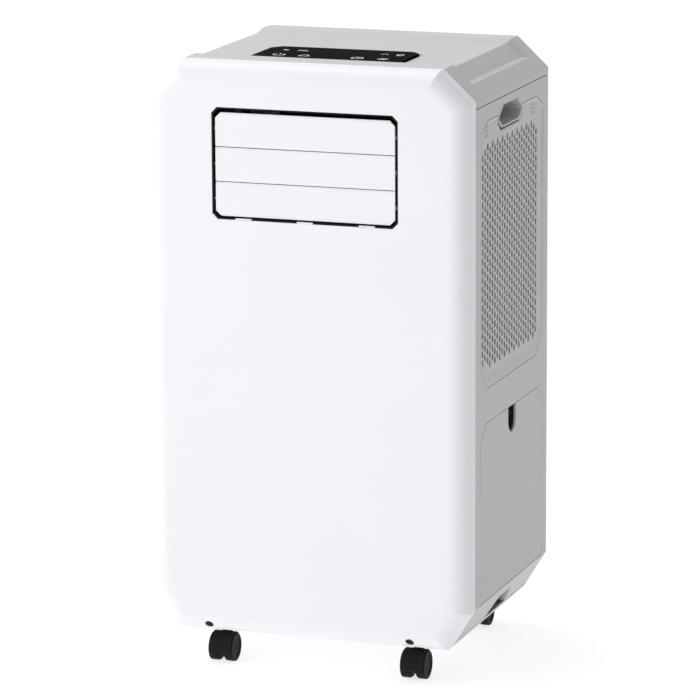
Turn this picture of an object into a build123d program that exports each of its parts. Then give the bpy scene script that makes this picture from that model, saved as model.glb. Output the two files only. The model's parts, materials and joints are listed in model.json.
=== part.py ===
from build123d import *
from math import atan2, cos, degrees, hypot, pi, radians, sin
import os

# A portable air conditioner on four twin-wheel casters.  Millimetres, +Z up, front facing -Y,
# origin on the floor under the middle of the cabinet.

# ---- overall cabinet -------------------------------------------------------------------------
body_width = 350.0
body_depth = 284.0
body_height = 647.0
floor_gap = 39.5            # underside of the cabinet above the floor
wall = 2.5                  # moulded shell thickness
seam = 0.6                  # visible gap between neighbouring shells
top_chamfer = (34.0, 32.0)  # width, height of the sloped upper corners
low_chamfer = (25.0, 41.0)  # width, height of the sloped lower corners
front_cover_depth = 29.4
front_edge_radius = 20.0
lid_gap = 0.9               # shadow gap between a side panel and the lid
lip_gap = 0.95              # between a side panel and the base pan's lip
split_gap = 0.8             # between a side panel and the front cover
lid_height = 39.5           # top cover, from its seam to the top
base_lip = 5.0              # visible edge of the base pan
upstand_height = 27.0

# ---- top cover and controls ------------------------------------------------------------------
recess_depth = 3.0
recess_front_border = 38.0
recess_rear_border = 33.0
recess_slope = 7.0
recess_margin = 1.0         # how far the cutting shape stands out of the surface
recess_run = 22.3           # length of the recess floor down each sloped corner
recess_end = 5.7            # run of the leaning wall at its lower end
lens_size = (164.0, 73.0)
lens_thickness = 3.6
lens_stand = 2.4            # how far the lens stands above the recess floor
lens_margin = 9.0
board_thickness = 1.6
board_gap = 3.0

# ---- air outlet and louvre -------------------------------------------------------------------
outlet_width = 202.6
outlet_height = 117.0
outlet_drop = 45.5          # top of the outlet below the top of the cabinet
outlet_corner = 6.0
frame_wall = 1.4
frame_depth = 33.0
flange_width = 7.0
flange_thickness = 2.0
blade_count = 3
blade_gap = 0.8
blade_thickness = 2.4
blade_side_gap = 3.7
blade_top_gap = 5.2
blade_bottom_gap = 3.0
blade_setback = 1.5
pivot_depth = 4.5           # pivot axis behind the blade's outer face
pivot_pin_radius = 1.5
pin_clearance = 0.06
crank_arm = 10.0
link_thickness = 1.2
link_half_width = 2.2
link_gap = 0.3
stepper_radius = 10.0
stepper_length = 18.0
stepper_offset = 7.0
tab_size = (17.5, 1.6)      # length, height of the snap tabs
tab_inset = 34.0

# ---- upright vanes ---------------------------------------------------------------------------
vane_count = 5
vane_thickness = 1.6
vane_depth = 22.0
vane_pin_reach = 2.0
tie_offset = 8.0
tie_bar_height = 2.0
tie_bar_half_width = 2.3
duct_wall = 2.0
duct_depth = 36.0

# ---- side features, all centred on the grey part of the cabinet --------------------------------
hatch_width = 220.0
filter_bottom = 309.0
filter_top = 589.3
filter_corner_top = (24.0, 13.0)
filter_corner_low = (24.0, 24.0)
grip_band = 13.0            # width of the slope along the lower edge of the sunk field
field_depth = 1.0           # how far the slotted field is sunk
field_margin = (1.0, 3.0)   # field's outer and inner distance from the other edges
slot_low = 332.0            # no slot's middle is lower than this
ledge_width = 7.0
ledge_thickness = 3.0
slot_columns = 23
slot_rows = 25
slot_pitch = (8.5, 9.74)
slot_size = (5.5, 8.0)
slot_corner = 0.4           # how closely the slot field follows the sloped lower corners
slot_top = 562.0
slot_shift = -7.0           # slots and dots sit forward of the hatch's middle
dot_radius = 1.45
dot_offsets = (76.9, 84.6)
dot_heights = (574.0, 578.5, 583.0)
tank_panel_bottom = 82.0
tank_panel_top = 272.0
tank_corner = (20.0, 16.5)
notch_width = 27.0
notch_depth = 28.0
tank_depth = 70.0
tank_wall = 2.0
tank_height = 152.0
tank_inset = 9.0
handle_bottom = 572.6
handle_height = 27.2
handle_width = 84.6
handle_depth = 32.0
handle_corner_low = (11.3, 7.5)
handle_corner_top = (15.3, 11.5)
handle_shift = -6.2         # the grip sits forward of the side's middle
cup_wall = 1.8
handle_flare = (2.6, 1.8)   # width, depth of the sloped edge at the sides and foot of the opening
cup_gap = (1.6, 1.9)        # side and lower clearance between the cup and its opening
cup_fit = 0.2               # clearance between the cup and the top of its opening
cup_corner_low = (11.0, 7.3)
cup_corner_top = (14.8, 10.5)
vent_low = (-14.0, 57.5)    # ends of the lower and upper edge of the corner vent
vent_high = (-1.0, 44.0)
vent_height = 22.0
vent_depth = 9.0
vent_wall = 1.6
vent_plate = 2.0
vent_bars = 5

# ---- evaporator side -------------------------------------------------------------------------
deck_height = 292.0
deck_thickness = 6.0
tray_wall = 5.0
coil_depth = 24.0
evap_coil_gap = 21.0        # coil face behind the cabinet side
evap_coil_height = 258.0
evap_coil_length = 213.0
tube_radius = 3.5
evap_wheel_radius = 80.0
evap_wheel_length = 100.0
evap_scroll_width = 150.0
evap_scroll_radii = (92.0, 104.0, 116.0)
blower_wall = 2.0
shaft_radius = 4.0
shaft_clearance = 0.05
motor_radius = 36.0
motor_length = 43.0
fan_blades = 28

# ---- condenser side --------------------------------------------------------------------------
cond_coil_gap = 15.0
cond_coil_height = 200.0
cond_coil_rise = 1.5        # coil foot above the top of the sloped lower corner
cond_coil_length = 195.0
cond_wheel_radius = 70.0
cond_wheel_length = 56.0
cond_scroll_width = 72.0
cond_scroll_gap = 8.0
cond_scroll_radii = (80.0, 88.0, 98.0)
cond_motor_radius = 32.0
cond_motor_length = 42.0
collar_radius = 56.0        # bore that the exhaust hose connector plugs into
collar_wall = 4.0
collar_depth = 22.0
collar_flange = 6.0

# ---- refrigerant circuit ---------------------------------------------------------------------
compressor_radius = 50.0
compressor_height = 198.0
compressor_place = (42.0, 90.0)  # from the middle, from the front face
grommet_height = 12.0
grommet_radius = 10.0
foot_circle = 58.0
foot_turn = 100.0
foot_arm = (7.0, 9.0)       # reach past the bolt, half width
accumulator_radius = 22.0
accumulator_height = 120.0
pipe_radius = 4.0
capillary_radius = 1.5

# ---- electrics -------------------------------------------------------------------------------
box_size = (52.0, 150.0, 220.0)
box_wall = 2.0

# ---- casters ---------------------------------------------------------------------------------
caster_x = 107.3
front_caster_inset = 38.0   # wheel centre behind the front face
rear_caster_inset = 28.0
wheel_radius = 15.2
wheel_width = 10.9
wheel_inner = 2.6
wheel_edge = (3.0, 1.2)     # rounding of the inner and outer edge of a wheel
wheel_dish = (12.5, 9.0, 1.2)  # outer radius, inner radius, depth of the dished outer face
hood_gap = 0.4
hood_wall = 1.0
hood_half_width = 11.6
hood_lift = 11.5            # lower edge of the hood above the floor
caster_trail = 9.0
stem_radius = 5.5
stem_top = 70.0
axle_radius = 2.5
socket_radius = 9.0

# ---- rear face -------------------------------------------------------------------------------
rear_flange = 20.0
screw_head_radius = 3.6
screw_head_height = 1.2
screw_shank_radius = 1.5
foot_screw_radius = 4.6
foot_screw_x = 111.5
cross_recess = (5.4, 1.1, 0.7)  # length, width, depth of the driver's cross
foot_screw_tilt = 36.0      # degrees that the foot screws face down
foot_screw_sink = 0.8
foot_screw_height = 1.2
drain_radius = 5.0
drain_place = (60.0, 58.0)
drain_reach = 3.0
gland_radius = 8.0
gland_place = (112.0, 84.0)
rear_slot = (90.0, 4.0)
rear_slot_count = 14
rear_slot_pitch = 10.0

# ---- places worked out from the sizes above ----------------------------------------------------
half_width = body_width / 2
front_y = -body_depth / 2
rear_y = body_depth / 2
split_y = front_y + front_cover_depth
side_mid_y = (split_y + rear_y) / 2
lid_z = body_height - lid_height
lip_z = floor_gap + base_lip
pan_floor_z = floor_gap + 3.0
inner_x = half_width - wall
recess_front_y = split_y + recess_front_border
recess_rear_y = rear_y - recess_rear_border
recess_floor_z = body_height - recess_depth
lens_front_y = recess_front_y - 0.6
lens_mid_y = lens_front_y + lens_size[1] / 2
outlet_half = outlet_width / 2
outlet_top = body_height - outlet_drop
outlet_low = outlet_top - outlet_height
blade_low = outlet_low + blade_bottom_gap
blade_pitch = (outlet_height - blade_top_gap - blade_bottom_gap) / blade_count
blade_height = blade_pitch - blade_gap
blade_half = outlet_half - blade_side_gap
blade_face_y = front_y + blade_setback
pivot_y = blade_face_y + pivot_depth
pivot_zs = [blade_low + blade_gap / 2 + blade_height / 2 + i * blade_pitch for i in range(blade_count)]
frame_half = outlet_half - 0.3
frame_low = outlet_low + 0.3
frame_top = outlet_top - 0.3
frame_back_y = front_y + 1.0 + frame_depth
duct_back_y = frame_back_y + duct_depth
duct_half = frame_half + 2.0
vane_y = frame_back_y + 16.0
vane_pitch = 2 * frame_half / vane_count
vane_xs = [(i - (vane_count - 1) / 2) * vane_pitch for i in range(vane_count)]
deck_top = deck_height + deck_thickness
evap_coil_x = half_width - evap_coil_gap - coil_depth
handle_mid_y = side_mid_y + handle_shift
slot_mid_y = side_mid_y + slot_shift
evap_scroll_x1 = duct_half - duct_wall
evap_scroll_x0 = evap_scroll_x1 - evap_scroll_width
evap_axis_z = frame_top - (evap_scroll_radii[2] + evap_scroll_radii[1] - evap_scroll_radii[0])
evap_axis_y = duct_back_y + evap_scroll_radii[0] + 4.0
evap_wheel_x1 = evap_scroll_x1 - 8.0
evap_wheel_x0 = evap_wheel_x1 - evap_wheel_length
cond_coil_x = -half_width + cond_coil_gap
cond_coil_low = floor_gap + low_chamfer[1] + cond_coil_rise
cond_scroll_x0 = cond_coil_x + coil_depth + cond_scroll_gap
cond_scroll_x1 = cond_scroll_x0 + cond_scroll_width
cond_axis_y = split_y + 9.6 + cond_scroll_radii[1]
cond_axis_z = deck_height - 6.0 - (cond_scroll_radii[2] + cond_scroll_radii[1] - cond_scroll_radii[0])
cond_wheel_x0 = cond_scroll_x0 + 8.0
collar_front_y = rear_y - collar_depth
collar_x = cond_scroll_x0 + 50.0
collar_z = deck_height - collar_radius - collar_wall - 2.0
compressor_x = compressor_place[0]
compressor_y = front_y + compressor_place[1]
compressor_low = pan_floor_z + grommet_height
compressor_top = compressor_low + compressor_height
accumulator_x = compressor_x + 16.0
accumulator_y = compressor_y + compressor_radius + accumulator_radius + 7.0
accumulator_low = pan_floor_z + 30.0
accumulator_top = accumulator_low + accumulator_height
tank_x0 = inner_x - tank_depth
tank_low = tank_panel_bottom + 2.0
tank_half = hatch_width / 2 - tank_inset


# ---- small shape helpers -----------------------------------------------------------------------
def block(x0, x1, y0, y1, z0, z1):
    """A box given by its two faces along each axis."""
    size = Box(x1 - x0, y1 - y0, z1 - z0)
    return Pos((x0 + x1) / 2, (y0 + y1) / 2, (z0 + z1) / 2) * size


def prism_x(points, x0, x1):
    """Extrude an outline of (y, z) points from x0 to x1."""
    face = make_face(Polyline(*points, close=True))
    return extrude(Plane.YZ.offset(x0) * face, amount=x1 - x0)


def prism_y(points, y0, y1):
    """Extrude an outline of (x, z) points from y0 to y1."""
    face = make_face(Polyline(*points, close=True))
    return extrude(Plane.XZ.offset(-y1) * face, amount=y1 - y0)


def rod_x(radius, x0, x1, y, z):
    return Pos((x0 + x1) / 2, y, z) * Rot(0, 90, 0) * Cylinder(radius, x1 - x0)


def rod_y(radius, y0, y1, x, z):
    return Pos(x, (y0 + y1) / 2, z) * Rot(90, 0, 0) * Cylinder(radius, y1 - y0)


def rod_z(radius, z0, z1, x, y):
    return Pos(x, y, (z0 + z1) / 2) * Cylinder(radius, z1 - z0)


def union(shapes):
    """Fuse a list of touching shapes into one solid."""
    first, *rest = shapes
    return first.fuse(*rest).clean() if rest else first


def mirrored(shape):
    """The same piece on the other side of the cabinet."""
    return mirror(shape, about=Plane.YZ)


# ---- cabinet profile ---------------------------------------------------------------------------
def cabinet_outline():
    """Front view of the cabinet: an upright box with all four corners sloped."""
    x, low, top = half_width, floor_gap, body_height
    right = [
        (x - low_chamfer[0], low),
        (x, low + low_chamfer[1]),
        (x, top - top_chamfer[1]),
        (x - top_chamfer[0], top),
    ]
    left = [(-px, pz) for px, pz in reversed(right)]
    return right + left


def cabinet(inset, y0, y1):
    """The cabinet's outline, shrunk evenly by inset, extruded from y0 to y1."""
    face = make_face(Polyline(*cabinet_outline(), close=True))
    if inset:
        face = offset(face, amount=-inset, kind=Kind.INTERSECTION)
    return extrude(Plane.XZ.offset(-y1) * face, amount=y1 - y0)


def above(z):
    return block(-half_width - 1, half_width + 1, front_y - 1, rear_y + 1, z, body_height + 1)


def below(z):
    return block(-half_width - 1, half_width + 1, front_y - 1, rear_y + 1, 0, z)


def chamfered_panel(width, low, top, corner_top, corner_low, mid):
    """Outline in (y, z) of a panel with four cut corners."""
    y = width / 2
    return [
        (mid - y + corner_low[0], low),
        (mid + y - corner_low[0], low),
        (mid + y, low + corner_low[1]),
        (mid + y, top - corner_top[1]),
        (mid + y - corner_top[0], top),
        (mid - y + corner_top[0], top),
        (mid - y, top - corner_top[1]),
        (mid - y, low + corner_low[1]),
    ]


def filter_outline(grow=0.0):
    return chamfered_panel(
        hatch_width + 2 * grow, filter_bottom - grow, filter_top + grow,
        filter_corner_top, filter_corner_low, side_mid_y)


def tank_outline(grow=0.0):
    return chamfered_panel(
        hatch_width + 2 * grow, tank_panel_bottom - grow, tank_panel_top + grow,
        tank_corner, (0.5, 0.5), side_mid_y)


def grip_outline(low, top, half, corner_low, corner_top):
    """Outline in (y, z) of the grip, narrower at top and bottom than in the middle."""
    return chamfered_panel(2 * half, low, top, corner_top, corner_low, handle_mid_y)


def handle_outline(grow=0.0):
    """Grip opening in the side panel."""
    return grip_outline(handle_bottom - grow, handle_bottom + handle_height + grow, handle_width / 2 + grow,
                        handle_corner_low, handle_corner_top)


def handle_cut(grow=0.0):
    """Cutting shape of the grip opening, with a sloped outer edge at its sides and foot."""
    wide, deep = handle_flare
    low, top, half = handle_bottom - grow, handle_bottom + handle_height + grow, handle_width / 2 + grow
    inner = grip_outline(low, top, half, handle_corner_low, handle_corner_top)
    outer = grip_outline(low - wide, top, half + wide, handle_corner_low, handle_corner_top)
    faces = [Plane.YZ.offset(x) * make_face(Polyline(*points, close=True))
             for x, points in ((half_width - deep, inner), (half_width + 0.01, outer))]
    return prism_x(inner, tank_x0, half_width + 1) + loft(faces)


def cup_outline(inset=0.0):
    """Grip cup: it meets the top of its opening and stays clear of the sides and the bottom."""
    side_gap, low_gap = cup_gap
    return grip_outline(handle_bottom + low_gap + inset, handle_bottom + handle_height - cup_fit - inset,
                        handle_width / 2 - side_gap - inset, cup_corner_low, cup_corner_top)


# ---- shells --------------------------------------------------------------------------------------
def outlet_opening(inset, y0, y1):
    x, low, top, c = outlet_half - inset, outlet_low + inset, outlet_top - inset, outlet_corner
    right = [(x - c, low), (x, low + c), (x, top - c), (x - c, top)]
    return prism_y(right + [(-px, pz) for px, pz in reversed(right)], y0, y1)


def foot_screw_place(side):
    """A plane on the rounded lower edge of the front cover, facing forward and a little down."""
    forward, down = cos(radians(foot_screw_tilt)), sin(radians(foot_screw_tilt))
    origin = (side * foot_screw_x,
              front_y + front_edge_radius * (1 - forward),
              floor_gap + front_edge_radius * (1 - down))
    return Plane(origin=origin, x_dir=(1, 0, 0), z_dir=(0, -forward, -down))


def snap_tabs(grow):
    """Three small lugs on the lower edge of the outlet opening."""
    length, tall = tab_size[0] / 2 + grow, tab_size[1] + grow
    places = (-outlet_half + tab_inset, 0.0, outlet_half - tab_inset)
    return [block(x - length, x + length, front_y + 0.6 - grow, front_y + wall + grow, outlet_low - 0.5,
                  outlet_low + tall) for x in places]


def front_cover():
    """White front shell with a rounded rim, the outlet opening and three snap tabs under the blades."""
    outer = cabinet(0, front_y, split_y)
    outer = fillet(outer.faces().sort_by(Axis.Y)[0].edges(), front_edge_radius)
    inner = cabinet(wall, front_y + wall, split_y)
    inner = fillet(inner.faces().sort_by(Axis.Y)[0].edges(), front_edge_radius - wall)
    cover = outer - inner - outlet_opening(0, front_y - 1, front_y + wall + 1)
    cover = union([cover] + snap_tabs(0))
    for side in (-1, 1):
        deep = foot_screw_sink + foot_screw_height
        pocket = Cylinder(foot_screw_radius + 0.15, deep + 1, align=(Align.CENTER, Align.CENTER, Align.MAX))
        cover = cover - foot_screw_place(side).offset(1.0) * pocket
    return cover


def side_wall():
    """Right-hand side: the outer wall, its rear return and the ledge behind the rear panel."""
    low, top = lip_z + lip_gap, lid_z - lid_gap
    ring = cabinet(0, split_y + split_gap, rear_y) - cabinet(wall, split_y, rear_y + 1)
    ring = ring & above(low) & below(top)
    ring = ring & block(0, half_width + 1, front_y, rear_y + 1, 0, body_height)
    flange_x = half_width - rear_flange
    end = cabinet(0, rear_y - wall, rear_y) & block(flange_x, half_width + 1, 0, rear_y + 1, low, top)
    ledge = cabinet(wall, rear_y - 2 * wall - 0.5, rear_y - wall)
    ledge = ledge & block(flange_x - 9.0, half_width, 0, rear_y, low, top)
    return union([ring, end, ledge])


def vent_prism(grow, x0, x1):
    """Trapezoid opening low on the sloped corner, wider at the lip than at its top."""
    low, top = lip_z - 1.0, lip_z + vent_height + grow
    points = [(vent_low[0] - grow, low), (vent_low[1] + grow, low), (vent_high[1] + grow, top),
              (vent_high[0] - grow, top)]
    return prism_x(points, x0, x1)


def slope_layer(outer, inner):
    """Layer parallel to the right-hand lower slope, between two depths below its surface."""
    per_depth = hypot(*low_chamfer) / low_chamfer[1]
    foot, head = half_width - low_chamfer[0], half_width
    low, top = floor_gap, floor_gap + low_chamfer[1]
    a, b = outer * per_depth, inner * per_depth
    return prism_y([(foot - a, low), (head - a, top), (head - b, top), (foot - b, low)], split_y, rear_y)


def with_vent_opening(panel):
    """Cut the low vent through a side wall and give it a deep return flange."""
    flange = slope_layer(wall - 0.1, vent_depth) & vent_prism(vent_wall, 0, half_width) & above(lip_z + lip_gap)
    return (panel + flange) - vent_prism(0, 0, half_width + 1)


def hatch_ledge(points_out, points_in):
    """Frame behind an opening that a hatch rests against."""
    x0 = inner_x - ledge_thickness
    return prism_x(points_out, x0, inner_x) - prism_x(points_in, x0 - 1, inner_x + 1)


def right_side_panel():
    panel = side_wall()
    panel = panel - prism_x(filter_outline(seam), inner_x - 1, half_width + 1)
    panel = panel - prism_x(tank_outline(seam), inner_x - 1, half_width + 1)
    panel = panel + hatch_ledge(filter_outline(4.0), filter_outline(-ledge_width))
    for y0, y1 in ((-hatch_width / 2 - 4, -tank_half - seam), (tank_half + seam, hatch_width / 2 + 4)):
        panel = panel + block(inner_x - ledge_thickness, inner_x, side_mid_y + y0, side_mid_y + y1,
                              tank_panel_bottom, tank_panel_top - tank_corner[1])
    panel = panel - handle_cut()
    return with_vent_opening(panel)


def left_side_panel():
    panel = side_wall()
    panel = panel - prism_x(tank_outline(seam), inner_x - 1, half_width + 1)
    panel = panel + hatch_ledge(tank_outline(4.0), tank_outline(-ledge_width))
    panel = panel - handle_cut()
    return mirrored(with_vent_opening(panel))


def rear_screw_places():
    x = half_width - rear_flange - 5.0
    zs = [lip_z + 16.0, lip_z + 190.0, lid_z - 190.0, lid_z - 16.0]
    return [(side * x, z) for side in (-1, 1) for z in zs]


def rear_panel():
    half = half_width - rear_flange - seam
    panel = block(-half, half, rear_y - wall, rear_y, lip_z, lid_z)
    panel = panel & cabinet(wall + seam, front_y, rear_y)
    panel = panel - rod_y(collar_radius + collar_wall + 0.2, rear_y - 9, rear_y + 1, collar_x, collar_z)
    panel = panel - rod_y(2 * drain_radius, rear_y - 9, rear_y + 1, *drain_place)
    panel = panel - rod_y(gland_radius, rear_y - 9, rear_y + 1, *gland_place)
    slot_x = (collar_x + collar_radius + collar_wall + half) / 2
    rows = [SlotOverall(rear_slot[0], rear_slot[1]).moved(Location((slot_x, 120.0 + i * rear_slot_pitch)))
            for i in range(rear_slot_count)]
    panel = panel - extrude(Plane.XZ.offset(-rear_y - 1) * Sketch(children=rows), amount=wall + 2)
    for x, z in rear_screw_places():
        panel = panel - rod_y(screw_head_radius + 0.2, rear_y - screw_head_height, rear_y + 1, x, z)
        panel = panel - rod_y(screw_shank_radius + 0.1, rear_y - 9, rear_y + 1, x, z)
    return panel


def recess_channel(plane, length):
    """A shallow channel with leaning sides, cut into the surface along a plane's own Z."""
    margin = recess_margin
    extra = recess_slope * margin / recess_depth
    a, b = recess_front_y, recess_rear_y
    points = [(a, -recess_depth), (b, -recess_depth),
              (b + recess_slope + extra, margin), (a - recess_slope - extra, margin)]
    face = make_face(Polyline(*points, close=True))
    return extrude(plane * face, amount=length)


def corner_recess():
    """The part of the recess that runs down the right-hand slope, with a leaning lower end."""
    slope = Vector(top_chamfer[0], 0, -top_chamfer[1]).normalized()
    outward = Vector(-slope.Z, 0, slope.X)
    ridge = Vector(half_width - top_chamfer[0], 0, body_height)
    end = recess_run + recess_end * (1 + recess_margin / recess_depth)
    channel = recess_channel(Plane(origin=ridge, x_dir=(0, 1, 0), z_dir=slope), end)
    profile = [(0, -recess_depth), (recess_run, -recess_depth), (end, recess_margin), (0, recess_margin)]
    points = [ridge + slope * along + outward * out for along, out in profile]
    return channel & prism_y([(p.X, p.Z) for p in points], front_y, rear_y)


def top_cover():
    """Grey lid with the shallow recess that runs down both sloped corners."""
    skin = wall + recess_depth
    lid = cabinet(0, split_y, rear_y) - cabinet(skin, split_y + wall, rear_y - wall)
    lid = lid & above(lid_z)
    ridge_x = half_width - top_chamfer[0]
    top = Plane(origin=(-ridge_x, 0, body_height), x_dir=(0, 1, 0), z_dir=(1, 0, 0))
    lid = lid - recess_channel(top, 2 * ridge_x)
    lid = lid - corner_recess() - mirrored(corner_recess())
    lens_bed = recess_floor_z + lens_stand - lens_thickness
    x, y = lens_size[0] / 2, lens_size[1] / 2
    lid = lid - block(-x - 0.2, x + 0.2, lens_mid_y - y - 0.2, lens_mid_y + y + 0.2, lens_bed, body_height)
    lid = lid - block(-x + lens_margin, x - lens_margin, lens_mid_y - y + lens_margin,
                      lens_mid_y + y - lens_margin, lens_bed - 9, lens_bed + 1)
    for px, py in board_posts():
        lid = lid + rod_z(3.0, board_top(), lens_bed, px, py)
    return lid


def board_top():
    return body_height - wall - recess_depth - board_gap


def board_posts():
    x, y = lens_size[0] / 2 - 4.0, lens_size[1] / 2 - 4.0
    return [(sx * x, lens_mid_y + sy * y) for sx in (-1, 1) for sy in (-1, 1)]


def control_lens():
    """Glossy plate over the touch keys; its rear corners are cut."""
    x, low = lens_size[0] / 2, recess_floor_z + lens_stand - lens_thickness
    y0, y1 = lens_front_y, lens_front_y + lens_size[1]
    points = [(-x, y0), (x, y0), (x, y1 - 12), (x - 10, y1), (-x + 10, y1), (-x, y1 - 12)]
    return extrude(Plane.XY.offset(low) * make_face(Polyline(*points, close=True)), amount=lens_thickness)


def display_board():
    x, y, top = lens_size[0] / 2, lens_size[1] / 2, board_top()
    board = block(-x, x, lens_mid_y - y, lens_mid_y + y, top - board_thickness, top)
    sensors = [block(-x + 14 + i * 17, -x + 24 + i * 17, lens_mid_y - 6, lens_mid_y + 4, top, top + 2.4)
               for i in range(9)]
    return union([board] + sensors)


# ---- outlet --------------------------------------------------------------------------------------
def outlet_frame():
    """Dark liner of the outlet, with bearing holes for the blades and two fixing flanges."""
    y0 = front_y + 1.0
    shell = outlet_opening(0.3, y0, frame_back_y) - outlet_opening(0.3 + frame_wall, y0 - 1, frame_back_y + 1)
    for z0, z1 in ((outlet_top - 0.5, outlet_top + flange_width), (outlet_low - flange_width, outlet_low + 0.5)):
        shell = shell + (block(-frame_half + 8, frame_half - 8, front_y + wall, front_y + wall + flange_thickness,
                               z0, z1) - outlet_opening(0.3 + frame_wall, y0 - 1, frame_back_y + 1))
    for z in pivot_zs:
        shell = shell - rod_x(pivot_pin_radius + pin_clearance, -frame_half - 1, frame_half + 1, pivot_y, z)
    for tab in snap_tabs(0.2):
        shell = shell - tab
    return shell


def blade_window():
    """The cut-cornered field that the closed blades fill."""
    x, low, top = blade_half, blade_low, outlet_top - blade_top_gap
    c = outlet_corner
    right = [(x - c, low), (x, low + c), (x, top - c), (x - c, top)]
    return prism_y(right + [(-px, pz) for px, pz in reversed(right)], front_y, pivot_y)


def louvre_blade(index):
    """One slat: a shallow bowed skin, stiffening rib, end cheeks, pivots and the crank pin."""
    z = pivot_zs[index]
    half = blade_height / 2
    back = blade_face_y + blade_thickness
    skin = prism_x([(blade_face_y + 0.7, z - half), (blade_face_y, z - half + 2.5), (blade_face_y, z + half - 2.5),
                    (blade_face_y + 0.7, z + half), (back, z + half), (back, z - half)], -blade_half, blade_half)
    skin = skin & blade_window()
    cheek_t = 2.0
    solids = [skin]
    for side in (-1, 1):
        a, b = sorted((side * blade_half, side * (blade_half - cheek_t)))
        reach = crank_arm + 2.5 if side < 0 else 3.0
        solids.append(block(a, b, back - 0.5, pivot_y + reach, z - 2.6, z + 2.6))
        a, b = sorted((side * (blade_half - 0.5), side * (frame_half + 0.3)))
        solids.append(rod_x(pivot_pin_radius, a, b, pivot_y, z))
    solids.append(block(-blade_half + cheek_t, blade_half - cheek_t, back - 0.5, back + 1.8, z - 0.8, z + 0.8))
    if index == blade_count // 2:
        solids.append(rod_x(pivot_pin_radius, frame_half, frame_half + 5.0, pivot_y, z))
    crank = rod_x(pivot_pin_radius, -blade_half - 2 * link_gap - link_thickness, -blade_half + 0.5,
                  pivot_y + crank_arm, z)
    return union(solids + [crank])


def louvre_link():
    """Thin bar that ties the crank pins of all the blades together."""
    x1 = -blade_half - link_gap
    bar = block(x1 - link_thickness, x1, pivot_y + crank_arm - link_half_width, pivot_y + crank_arm + link_half_width,
                pivot_zs[0] - 3.5, pivot_zs[-1] + 3.5)
    for z in pivot_zs:
        bar = bar - rod_x(pivot_pin_radius + pin_clearance, x1 - 9, x1 + 9, pivot_y + crank_arm, z)
    return bar


def louvre_motor():
    """Small geared stepper with an off-centre output, on the outside of the frame."""
    z = pivot_zs[blade_count // 2]
    y = pivot_y + stepper_offset
    can = rod_x(stepper_radius, frame_half, frame_half + stepper_length, y, z)
    plate = block(frame_half, frame_half + 1.2, y - 3.5, y + 3.5, z - 17, z + 17)
    lead = block(frame_half + 5, frame_half + 13, y + 6, y + 12.5, z - 5, z + 5)
    body = union([can, plate, lead])
    return body - rod_x(pivot_pin_radius + pin_clearance, frame_half - 1, frame_half + 6, pivot_y, z)


def outlet_duct():
    """Box that joins the blower's mouth to the outlet frame and carries the upright vanes."""
    low, top = frame_low - 2.0, frame_top + 2.0
    duct = block(-duct_half, duct_half, frame_back_y, duct_back_y, low, top)
    duct = duct - block(-duct_half + duct_wall, duct_half - duct_wall, frame_back_y - 1, duct_back_y - duct_wall,
                        low + duct_wall, top - duct_wall)
    mouth_x0 = evap_scroll_x0 + blower_wall
    duct = duct - block(mouth_x0, evap_scroll_x1 - blower_wall, duct_back_y - 9, duct_back_y + 1,
                        frame_low + 2 * blower_wall, frame_top - blower_wall)
    for x in vane_xs:
        duct = duct - rod_z(pivot_pin_radius + pin_clearance, low - 1, top + 1, x, vane_y)
    return duct


def vane(index):
    """Upright air guide with a pivot at each end and a stub for the tie bar."""
    x = vane_xs[index]
    t = vane_thickness / 2
    low, top = frame_low + 1.2, frame_top - 1.2
    plate = block(x - t, x + t, vane_y - vane_depth / 2, vane_y + vane_depth / 2, low, top)
    notch_low = top - 9.0
    plate = plate - block(x - 9, x + 9, vane_y + tie_offset - 4.5, vane_y + vane_depth, notch_low, top + 1)
    pins = [rod_z(pivot_pin_radius, low - vane_pin_reach, low + 4, x, vane_y),
            rod_z(pivot_pin_radius, top - 4, top + vane_pin_reach, x, vane_y),
            rod_z(1.2, notch_low - 3, notch_low + tie_bar_height + 1.4, x, vane_y + tie_offset)]
    return union([plate] + pins)


def vane_tie_bar():
    low = frame_top - 1.2 - 9.0 + 0.4
    y = vane_y + tie_offset
    bar = block(vane_xs[0] - 5, vane_xs[-1] + 5, y - tie_bar_half_width, y + tie_bar_half_width,
                low, low + tie_bar_height)
    for x in vane_xs:
        bar = bar - rod_z(1.2 + pin_clearance, low - 1, low + 9, x, y)
    return bar


# ---- blowers -------------------------------------------------------------------------------------
def scroll_outline(radii, inset, mouth, mouth_low, side):
    """Spiral of three quarter arcs that opens into a straight mouth at the top.

    side is -1 where the mouth faces the front and 1 where it faces the rear.
    """
    r1, r2, r3 = (r - inset for r in radii)
    step1, step2 = radii[1] - radii[0], radii[2] - radii[1]
    c1, c2, c3 = (0.0, 0.0), (0.0, step1), (side * step2, step1)
    d = cos(pi / 4)

    def arc(c, r, start, middle, end):
        pts = [(c[0] + r * u, c[1] + r * v) for u, v in (start, middle, end)]
        return ThreePointArc(*pts)

    s = side
    first = arc(c1, r1, (s, 0), (s * d, -d), (0, -1))
    second = arc(c2, r2, (0, -1), (-s * d, -d), (-s, 0))
    third = arc(c3, r3, (-s, 0), (-s * d, d), (0, 1))
    top = c3[1] + r3
    low = mouth_low + inset
    walls = Polyline((c3[0], top), (s * mouth, top), (s * mouth, low), (s * r1, low), (s * r1, 0))
    return make_face(first + second + third + walls)


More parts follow.
